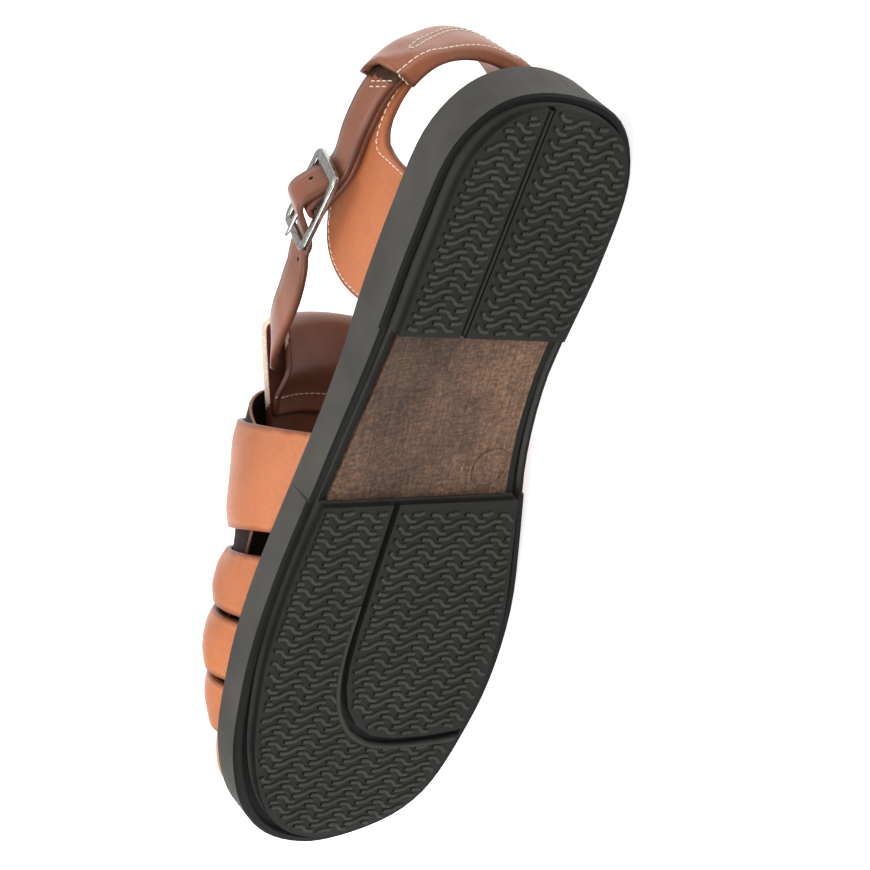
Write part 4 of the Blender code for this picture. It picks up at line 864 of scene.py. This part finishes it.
def sweep_tree():
    """Node tree that runs a round bar along every line of edges."""
    tree, nodes, start = new_tree("sweep_lines", (("Radius", "Float"), ("Sides", "Int")))
    curve = nodes.add("GeometryNodeMeshToCurve", {"Mesh": start["Geometry"]})
    profile = nodes.add("GeometryNodeCurvePrimitiveCircle", {
        "Radius": start["Radius"],
        "Resolution": start["Sides"],
    })
    sweep = nodes.add("GeometryNodeCurveToMesh", {
        "Curve": curve.outputs["Curve"],
        "Profile Curve": profile.outputs["Curve"],
        "Fill Caps": True,
    })
    end_tree(nodes, start, sweep.outputs["Mesh"])
    return tree


def set_on_points(name, places, turns, shape_mesh, finish):
    """A mesh made by setting a small shape on every place with its own turn."""
    base = bpy.data.meshes.new(name + "_points")
    base.from_pydata([tuple(p) for p in places], [], [])
    attribute = base.attributes.new("turn", "FLOAT_VECTOR", "POINT")
    attribute.data.foreach_set("vector", np.array([tuple(t) for t in turns], dtype=np.float32).ravel())
    shape = work_piece(name + "_shape", shape_mesh)
    values = {"Shape": shape, "Finish": finish_named(finish)}
    mesh = run_tree(name, work_piece(name, base), instances_tree, values)
    bpy.data.objects.remove(shape)
    return mesh


def run_tree(name, piece, make, values):
    """Apply a node tree with its named inputs to a piece and return the finished mesh."""
    if make not in TREES:
        TREES[make] = make()
    modifier = piece.modifiers.new("make", "NODES")
    modifier.node_group = TREES[make]
    for item in TREES[make].interface.items_tree:
        if item.item_type == "SOCKET" and item.in_out == "INPUT" and item.name in values:
            modifier[item.identifier] = values[item.name]
    mesh = evaluated_mesh(piece)
    mesh.name = name
    mesh.shade_smooth()
    if not mesh.polygons:
        raise RuntimeError("nothing was made for " + name)
    return mesh


def sweep_lines(name, lines, radius, sides, finish):
    """A mesh of round bars along lines of shoe millimetres."""
    base = bpy.data.meshes.new(name + "_lines")
    points = []
    edges = []
    for line in lines:
        first = len(points)
        points.extend(to_world(line))
        edges.extend((first + k, first + k + 1) for k in range(len(line) - 1))
    base.from_pydata(points, edges, [])
    values = {"Radius": radius, "Sides": sides, "Finish": finish_named(finish)}
    return face_outward(run_tree(name, work_piece(name, base), sweep_tree, values))


def rounded(line, step):
    """A line with its corners cut once and even short steps along it."""
    line = [np.array(p, dtype=float) for p in line]
    soft = [line[0]]
    for before, corner, after in zip(line, line[1:], line[2:]):
        soft.extend(corner + (end - corner) * CORNER_CUT for end in (before, after))
    soft.append(line[-1])
    out = []
    for first, second in zip(soft, soft[1:]):
        count = max(int(np.linalg.norm(second - first) / step), 1)
        out.extend(first + (second - first) * k / count for k in range(count))
    out.append(soft[-1])
    return out


def tube_mesh(name, points, radius, sides=10, closed=False):
    """A round tube along points given in metres."""
    points = np.array([tuple(p) for p in points], dtype=float)
    if closed:
        run = np.roll(points, -1, axis=0) - np.roll(points, 1, axis=0)
    else:
        run = np.gradient(points, axis=0)
    run /= np.linalg.norm(run, axis=1)[:, None]
    side = np.cross(run[0], (0.31, 0.52, 0.79))
    coords = []
    for place, ahead in zip(points, run):
        side = side - ahead * np.dot(side, ahead)
        side /= np.linalg.norm(side)
        up = np.cross(ahead, side)
        for j in range(sides):
            turn = 2 * math.pi * j / sides
            coords.append(tuple(place + radius * (math.cos(turn) * side + math.sin(turn) * up)))
    faces = []
    count = len(points)
    for k in range(count if closed else count - 1):
        m = (k + 1) % count
        for j in range(sides):
            n = (j + 1) % sides
            faces.append((sides * k + j, sides * k + n, sides * m + n, sides * m + j))
    if not closed:
        faces.append(tuple(range(sides))[::-1])
        faces.append(tuple(sides * (count - 1) + j for j in range(sides)))
    mesh = bpy.data.meshes.new(name)
    mesh.from_pydata(coords, [], faces)
    return face_outward(mesh)


class SurfaceOf:
    """Finds points and normals on a piece's surface."""

    def __init__(self, mesh):
        work = as_bmesh(mesh)
        self.tree = BVHTree.FromBMesh(work)
        work.free()

    def hit(self, shoe_point, shoe_aim):
        """Where a ray from a point towards an aim, both in shoe millimetres, meets the piece."""
        start, end = to_world((shoe_point, shoe_aim))
        place, normal, _, _ = self.tree.ray_cast(start, (end - start).normalized())
        return place, normal


def stitch_shape():
    """One stitch along x, standing out along z, sunk at its ends."""
    length = sizes().stitch_length
    radius = sizes().thread_radius
    points = []
    for t in (-0.5, -0.38, -0.18, 0.0, 0.18, 0.38, 0.5):
        points.append((t * length, 0.0, radius * (0.9 - 5.2 * t * t)))
    return tube_mesh("stitch", points, radius, 6)


def even_path(points, pitch):
    """Even places along a line of points: each one's stretch and its share along that."""
    lengths = [0.0]
    for first, second in zip(points, points[1:]):
        lengths.append(lengths[-1] + (second - first).length)
    places = []
    count = max(int(lengths[-1] / pitch), 1)
    k = 0
    for step in range(count):
        want = (step + 0.5) * lengths[-1] / count
        while k < len(points) - 2 and lengths[k + 1] < want:
            k += 1
        share = (want - lengths[k]) / max(lengths[k + 1] - lengths[k], 1e-12)
        places.append((k, share))
    return places


def stitches(name, lines):
    """Stitches along lines of places and normals on the leather."""
    spots = []
    turns = []
    for line in lines:
        line = [item for item in line if item[0] is not None]
        if len(line) < 2:
            continue
        points = [item[0] for item in line]
        for k, share in even_path(points, sizes().stitch_pitch):
            normal = line[k][1].lerp(line[k + 1][1], share).normalized()
            run = (points[k + 1] - points[k]).normalized()
            run = (run - normal * run.dot(normal)).normalized()
            spots.append(points[k].lerp(points[k + 1], share))
            turns.append(Matrix((run, normal.cross(run), normal)).transposed().to_euler("XYZ"))
    if not spots:
        raise RuntimeError("no stitches found for " + name)
    settle(name, set_on_points(name, spots, turns, stitch_shape(), "thread"), "leather")


class SANDAL_OT_sole(bpy.types.Operator):
    """Finish the rubber sole, the waist board and the footbed"""

    bl_idname = "sandal.sole"
    bl_label = "Sole"

    def execute(self, context):
        for node, finish in (("outsole", "rubber"), ("waist_board", "board"), ("insole", "back")):
            dress(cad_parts[node].data, finish)
        return {"FINISHED"}


def tread_runs(loop, groove, low, high, line):
    """The stretches of a line that lie on a tread, clear of its breast and its groove."""
    runs = [[]]
    for across, along in line:
        clear = inside(loop, across, along) and line_distance(groove, across, along) > GROOVE_CLEAR
        if clear and low < along < high:
            runs[-1].append((across, along))
        elif runs[-1]:
            runs.append([])
    return [run for run in runs if len(run) > 2]


class SANDAL_OT_tread(bpy.types.Operator):
    """Set the stepped tread bars in rows on the heel and the forepart"""

    bl_idname = "sandal.tread"
    bl_label = "Tread bars"

    def execute(self, context):
        pitch = sizes().tread_pitch / MM
        period = sizes().tread_period / MM
        sink = sizes().bar_sink / MM
        loop = tread_edge(BAR_MARGIN)
        bars = ((rounded(FALLING_BAR, BAR_STEP), 0.0, 0.0),
                (rounded(RISING_BAR, BAR_STEP), period / 2, pitch / 2))
        for name, groove, centre, rows, low, high in TREADS:
            lines = []
            for (shape, aside, ahead), row, step in product(
                    bars, range(-rows, rows + 1), range(-BARS_ASIDE, BARS_ASIDE + 1)):
                middle = (centre[0] + step * period + aside, centre[1] + row * pitch + ahead)
                line = [(middle[0] + p[0], middle[1] + p[1]) for p in shape]
                for run in tread_runs(loop, groove, low, high, line):
                    lines.append([(x, y, spring(y) + sink) for x, y in run])
            mesh = sweep_lines("tread_bars_" + name, lines, sizes().bar_radius, 8, "rubber")
            settle(mesh.name, mesh, "rubber")
        return {"FINISHED"}


class SANDAL_OT_grooves(bpy.types.Operator):
    """Lay the raised bead in the heel groove and the soft lip outside the curved one"""

    bl_idname = "sandal.grooves"
    bl_label = "Groove bead and lip"

    def execute(self, context):
        loop = tread_edge(BEAD_MARGIN)
        curve = smooth_line(FOREPART_GROOVE, 12)
        run = np.gradient(curve, axis=0)
        run /= np.linalg.norm(run, axis=1)[:, None]
        outer = curve + np.stack((-run[:, 1], run[:, 0]), axis=1) * LIP_ASIDE
        for name, line, low, high, lift, radius, sides in (
                ("groove_beads", smooth_line(HEEL_GROOVE, 90), 0.0, BEAD_END, BEAD_LIFT, BEAD_RADIUS, 10),
                ("groove_lip", outer, LIP_START, SHOE_END, LIP_LIFT, LIP_RADIUS, 14)):
            line = [(x, y, spring(y) + lift) for x, y in line if low < y < high and inside(loop, x, y)]
            settle(name, sweep_lines(name, [line], radius, sides, "rubber"), "rubber")
        return {"FINISHED"}


class SANDAL_OT_ring(bpy.types.Operator):
    """Lay a plain ring on the waist board"""

    bl_idname = "sandal.ring"
    bl_label = "Waist ring"

    def execute(self, context):
        radius = sizes().ring_radius / MM
        across, along, height = RING_CENTRE
        turns = [2 * math.pi * k / 72 for k in range(72)]
        points = [(across + radius * math.cos(t), along + radius * math.sin(t), height) for t in turns]
        mesh = tube_mesh("waist_ring", to_world(points), RING_BEAD, 8, closed=True)
        settle("waist_ring", dress(mesh, "board"), "waist")
        return {"FINISHED"}


class SANDAL_OT_leather(bpy.types.Operator):
    """Smooth the leather pieces and give them their grain, backs and cut edges"""

    bl_idname = "sandal.leather"
    bl_label = "Leather"

    def execute(self, context):
        for name, node, finishes, edge_width, shape in (
                # The upper's back takes the darkened back finish: painted shade inside the shoe.
                ("upper_leather", "upper", ("leather", "shaded_back", "edge"), EDGE_WIDTH, None),
                ("instep_leather", "instep_strap", ("strap", "back", "raw_edge"), RAW_EDGE_WIDTH,
                 bare_edge),
                ("heel_band_leather", "heel_band", STRAP_FINISHES, EDGE_WIDTH, draw_back_mouth),
                ("ankle_strap_leather", "ankle_strap", STRAP_FINISHES, EDGE_WIDTH, punched),
                ("buckle_strap_leather", "buckle_strap", STRAP_FINISHES, EDGE_WIDTH, None)):
            mesh = dress(leather_mesh(node, edge_width=edge_width), *finishes)
            settle(name, shape(mesh) if shape else mesh, "leather", node)
        return {"FINISHED"}


def mouth_along(height):
    """How far along the shoe the heel band's mouth lies at a height, millimetres."""
    return MOUTH_LOW[0] + (height - MOUTH_LOW[1]) * MOUTH_SLOPE


def draw_back_mouth(mesh):
    """Draw the middle of the heel band's mouth back into an arch."""
    back = LIE.to_3x3() @ Vector(MOUTH_BACK)
    for vertex in mesh.vertices:
        place = (UNLIE @ vertex.co) / MM
        near = min(max(1.0 - (mouth_along(place.z) - place.y) / MOUTH_REACH, 0.0), 1.0)
        rise = (place.z - MOUTH_MIDDLE) / MOUTH_HALF
        if place.x < 0.0 and near > 0.0 and abs(rise) < 1.0:
            vertex.co += back * MOUTH_DRAWN * MM * near * near * math.cos(rise * math.pi / 2) ** 1.5
    return mesh


def bare_edge(mesh):
    """Give the instep strap's lateral edge its pale raw finish."""
    turn = UNLIE.to_3x3()
    for polygon in mesh.polygons:
        place = (UNLIE @ polygon.center) / MM
        sideways = -(turn @ polygon.normal).x
        if place.x < RAW_EDGE_ACROSS and place.y < RAW_EDGE_ALONG and sideways > RAW_EDGE_FACING:
            polygon.material_index = EDGE_SLOT
    return mesh


def punched(mesh):
    """The ankle strap's mesh, with painted shade inside the heel band, where its faces take the back
    finish, and with its holes punched through.
    """
    # Painted shade: the strap inside the heel band's sleeve gets the dark back finish in place of its
    # grain.
    for polygon in mesh.polygons:
        place = (UNLIE @ polygon.center) / MM
        if place.x < 0.0 and place.y < mouth_along(place.z):
            polygon.material_index = BACK_SLOT
    surface = SurfaceOf(mesh)
    piece = work_piece("punched", mesh)
    cutters = []
    for hole in STRAP_HOLES:
        place, normal = surface.hit(Vector(hole) + Vector(HOLE_SIGHT), hole)
        if place is None:
            raise RuntimeError("a strap hole misses the strap")
        ends = (place - normal * HOLE_DEEP, place + normal * HOLE_PROUD)
        cutter = work_piece("hole", dress(tube_mesh("hole", ends, sizes().hole_radius, 20), "back"))
        modifier = piece.modifiers.new("hole", "BOOLEAN")
        modifier.operation = "DIFFERENCE"
        modifier.solver = "EXACT"
        modifier.material_mode = "TRANSFER"
        modifier.object = cutter
        cutters.append(cutter)
    made = evaluated_mesh(piece)
    for cutter in cutters:
        bpy.data.objects.remove(cutter)
    return made


def shoulder(angle):
    """Share of the way in and up on the lining's rounded side, at a direction angle."""
    c, s = abs(math.cos(angle)), abs(math.sin(angle))
    reach = (c ** LINING_FULLNESS + s ** LINING_FULLNESS) ** (-1.0 / LINING_FULLNESS)
    return 1.0 - reach * c, reach * s


class SANDAL_OT_lining(bpy.types.Operator):
    """Add the lining that shows behind the rear band and between the bands, in the darkened back finish
    that paints the shade inside the shoe
    """

    bl_idname = "sandal.lining"
    bl_label = "Lining"

    def execute(self, context):
        sides = [(angle, None) for angle in np.linspace(LINING_LOW, math.pi / 2, 16)]
        sides += [(angle, LINING_MEDIAL_FOOT)
                  for angle in np.linspace(math.pi / 2, LINING_MEDIAL_LOW, 6)[1:]]
        points = []
        for ridge_y, ridge_x, ridge_z, foot_y, lateral_x, bulge in smooth_line(LINING_ROWS, 3):
            for angle, medial_x in sides:
                inward, upward = shoulder(angle)
                foot_x = medial_x or lateral_x
                swell = 0.0 if medial_x else bulge * math.sin(math.pi * upward)
                points.append((foot_x + inward * (ridge_x - foot_x) - swell,
                               foot_y + upward * (ridge_y - foot_y),
                               LINING_FOOT + upward * (ridge_z - LINING_FOOT)))
        count = len(sides)
        faces = []
        for k, j in product(range(len(points) // count - 1), range(count - 1)):
            first = count * k + j
            faces.append((first, first + 1, first + count + 1, first + count))
        mesh = bpy.data.meshes.new("vamp_lining")
        mesh.from_pydata(to_world(points), [], faces)
        piece = work_piece("vamp_lining", dress(mesh, "shaded_back", "edge"))
        modifier = piece.modifiers.new("thick", "SOLIDIFY")
        modifier.thickness = LINING_THICK * MM
        modifier.offset = 0.0
        modifier.material_offset_rim = 1
        modifier = piece.modifiers.new("soft", "BEVEL")
        modifier.width = LINING_BEVEL * MM
        modifier.segments = 2
        mesh = evaluated_mesh(piece)
        mesh.shade_smooth()
        settle("vamp_lining", mesh, "leather")
        return {"FINISHED"}


def buckle_axes():
    """Directions along, across and out of the buckle, in the shoe's frame."""
    turn = math.radians(BUCKLE_TURN)
    lean = math.radians(BUCKLE_LEAN)
    along = Vector((0.0, math.cos(turn), math.sin(turn)))
    upward = Vector((math.sin(lean), -math.sin(turn) * math.cos(lean), math.cos(turn) * math.cos(lean)))
    return along, upward, upward.cross(along)


def flat_frame():
    """The buckle's frame: a flat bar with bevelled edges round a rectangle, and its round post."""
    along, upward, outward = buckle_axes()
    half_long = (BUCKLE_LONG - BUCKLE_BAR) / 2
    half_wide = (BUCKLE_WIDE - BUCKLE_BAR) / 2
    wide, deep, bevel = BUCKLE_BAR / 2, BUCKLE_BAR_DEEP / 2, BUCKLE_BEVEL
    section = ((wide - bevel, deep), (wide, deep - bevel), (wide, bevel - deep), (wide - bevel, -deep),
               (bevel - wide, -deep), (-wide, bevel - deep), (-wide, deep - bevel), (bevel - wide, deep))
    work = bmesh.new()
    rings = []
    for corner in range(4):
        sign_a = (1, -1, -1, 1)[corner]
        sign_b = (1, 1, -1, -1)[corner]
        for step in range(6):
            turn = math.pi / 2 * (corner + step / 5)
            away = along * math.cos(turn) + upward * math.sin(turn)
            middle = (Vector(BUCKLE_CENTRE) + along * sign_a * (half_long - BUCKLE_CORNER)
                      + upward * sign_b * (half_wide - BUCKLE_CORNER) + away * BUCKLE_CORNER)
            wider = 1.0 + BUCKLE_REAR_WIDER * abs(math.cos(turn)) * (sign_a < 0)
            rings.append([work.verts.new(LIE @ ((middle + away * a * wider + outward * b) * MM))
                          for a, b in section])
    for first, second in zip(rings, rings[1:] + rings[:1]):
        for k in range(len(section)):
            n = (k + 1) % len(section)
            work.faces.new((first[k], first[n], second[n], second[k]))
    bmesh.ops.recalc_face_normals(work, faces=work.faces)
    mesh = bpy.data.meshes.new("frame_bars")
    work.to_mesh(mesh)
    work.free()
    ends = [Vector(BUCKLE_CENTRE) + upward * half_wide * side for side in (-1, -0.33, 0.33, 1)]
    post = tube_mesh("post", to_world(ends), POST_RADIUS * MM, 20)
    work = as_bmesh(mesh, post)
    work.to_mesh(mesh)
    work.free()
    mesh.shade_smooth()
    mesh.set_sharp_from_angle(angle=math.radians(30))
    return mesh


class SANDAL_OT_buckle(bpy.types.Operator):
    """Make the buckle's flat frame and its prong in satin metal"""

    bl_idname = "sandal.buckle"
    bl_label = "Buckle"

    def execute(self, context):
        piece = work_piece("frame", flat_frame())
        modifier = piece.modifiers.new("soft", "BEVEL")
        modifier.width = BUCKLE_SOFT * MM
        modifier.segments = 2
        modifier.harden_normals = True
        mesh = dress(evaluated_mesh(piece), "metal")
        settle("buckle_frame_metal", mesh, "nickel", "buckle_frame")
        mesh = leather_mesh("buckle_prong", 1, crease=0.0, edge_width=0.0, sharp=80.0)
        dress(mesh, "metal", "metal", "metal")
        settle("buckle_prong_metal", mesh, "nickel", "buckle_prong")
        return {"FINISHED"}


class SANDAL_OT_stitching(bpy.types.Operator):
    """Sew the quarters, the heel band, the straps in the heel band's mouth and the instep flap"""

    bl_idname = "sandal.stitching"
    bl_label = "Stitching"

    def execute(self, context):
        found = {node: SurfaceOf(bpy.data.objects[node + "_leather"].data)
                 for node in ("upper", "heel_band", "ankle_strap", "instep")}
        lines = []
        for table, side in product((QUARTER_FRONT, QUARTER_REAR), (-1, 1)):
            line = [found["upper"].hit((side * QUARTER_SIGHT, y, z), (0.0, y, z))
                    for y, z in smooth_line(table, 6)]
            lines.append([item for item in line
                          if item[0] and (UNLIE @ item[0]).x * side > QUARTER_OUT * MM])
        stitches("quarter_stitches", lines)
        lines = [[]]
        for turn in np.linspace(-BAND_TURN, BAND_TURN, 90):
            height = BAND_LOW + BAND_ROW_RISE + BAND_RISE * math.cos(turn) ** 2
            start = (BAND_SIGHT * math.sin(turn), BAND_MIDDLE - BAND_SIGHT * math.cos(turn), height)
            lines[0].append(found["heel_band"].hit(start, (0.0, BAND_MIDDLE, height)))
        for table in (LOOP_UPPER, LOOP_LOWER):
            lines.append([found["heel_band"].hit(*heel_ray(x, z)) for x, z in smooth_line(table, 6)])
        stitches("band_stitches", lines)
        lines = []
        for start, end in MOUTH_ROWS:
            places = [Vector(start).lerp(Vector(end), k / 7) for k in range(8)]
            lines.append([found["ankle_strap"].hit((p.x - MOUTH_SIGHT, p.y, p.z), p) for p in places])
        stitches("mouth_stitches", lines)
        row = [found["instep"].hit(*((x, FLAP_ROW, z) for z in FLAP_SIGHT))
               for x in np.linspace(*FLAP_ENDS, 30)]
        stitches("flap_stitches", [row])
        return {"FINISHED"}


def heel_ray(across, height):
    """Start and aim of a ray that meets the heel band at a place behind the heel."""
    along = BACK_START + (across / BACK_HALF) ** 2 * BACK_FORWARD
    outward = Vector((across, along - BACK_MIDDLE, 0.0)).normalized() * BACK_SIGHT
    place = Vector((across, along, height))
    return place + outward, place


class SANDAL_OT_stage(bpy.types.Operator):
    """Set the floor, the lights and the camera"""

    bl_idname = "sandal.stage"
    bl_label = "Stage"

    def execute(self, context):
        scene = context.scene
        mesh = bpy.data.meshes.new("floor")
        corners = [(x * FLOOR_REACH, y * FLOOR_REACH, 0.0)
                   for x, y in ((-1, -1), (1, -1), (1, 1), (-1, 1))]
        mesh.from_pydata(corners, [], [(0, 1, 2, 3)])
        floor = bpy.data.objects.new("floor", mesh)
        scene.collection.objects.link(floor)
        pale, _, shader, _ = material("floor_pale", 0.9)
        shader.inputs["Base Color"].default_value = FLOOR_COLOUR
        shader.inputs["Emission Color"].default_value = WHITE
        shader.inputs["Emission Strength"].default_value = FLOOR_GLOW
        mesh.materials.append(pale)
        world = bpy.data.worlds.new("studio")
        world.use_nodes = True
        background = world.node_tree.nodes["Background"]
        background.inputs["Color"].default_value = WHITE
        background.inputs["Strength"].default_value = WORLD_GLOW
        scene.world = world
        for name, place, size, power in LIGHTS:
            data = bpy.data.lights.new(name, "AREA")
            data.size = size
            data.energy = power
            light = bpy.data.objects.new(name, data)
            light.location = place
            aim = Vector(LIGHT_AIM) - Vector(place)
            light.rotation_euler = aim.to_track_quat("-Z", "Y").to_euler()
            scene.collection.objects.link(light)
        turn = LIE.to_3x3()
        right = (turn @ Vector(CAMERA_RIGHT)).normalized()
        back = -(turn @ Vector(CAMERA_FORWARD)).normalized()
        up = back.cross(right).normalized()
        right = up.cross(back)
        camera_data = bpy.data.cameras.new("photo_camera")
        camera_data.sensor_width = 36.0
        camera_data.lens = CAMERA_LENS
        camera_data.clip_end = 20.0
        camera = bpy.data.objects.new("photo_camera", camera_data)
        camera.matrix_world = (Matrix.Translation(to_world((CAMERA_PLACE,))[0])
                               @ Matrix((right, up, back)).transposed().to_4x4())
        scene.collection.objects.link(camera)
        scene.camera = camera
        scene.view_settings.view_transform = "Standard"
        return {"FINISHED"}


OPERATORS = (SANDAL_OT_stage, SANDAL_OT_sole, SANDAL_OT_tread, SANDAL_OT_grooves, SANDAL_OT_ring,
             SANDAL_OT_leather, SANDAL_OT_lining, SANDAL_OT_buckle, SANDAL_OT_stitching)


class SANDAL_PT_panel(bpy.types.Panel):
    """Panel that lists the sandal's steps and settings"""

    bl_idname = "SANDAL_PT_panel"
    bl_label = "Fisherman sandal"
    bl_space_type = "VIEW_3D"
    bl_region_type = "UI"
    bl_category = "Sandal"

    def draw(self, context):
        for operator in OPERATORS:
            self.layout.operator(operator.bl_idname)
        for group in (context.scene.sandal_colours, context.scene.sandal_sizes):
            box = self.layout.box()
            for name in group.__annotations__:
                box.prop(group, name)


CLASSES = (SandalColours, SandalSizes, *OPERATORS, SANDAL_PT_panel)


def register():
    """Register the classes and the scene's settings."""
    for item in CLASSES:
        bpy.utils.register_class(item)
    bpy.types.Scene.sandal_colours = bpy.props.PointerProperty(type=SandalColours)
    bpy.types.Scene.sandal_sizes = bpy.props.PointerProperty(type=SandalSizes)


def unregister():
    """Remove the scene's settings and the classes."""
    del bpy.types.Scene.sandal_sizes
    del bpy.types.Scene.sandal_colours
    for item in reversed(CLASSES):
        bpy.utils.unregister_class(item)


def main():
    """Build every piece in order."""
    register()
    for operator in OPERATORS:
        group, call = operator.bl_idname.split(".")
        getattr(getattr(bpy.ops, group), call)()


if __name__ == "__main__":
    main()
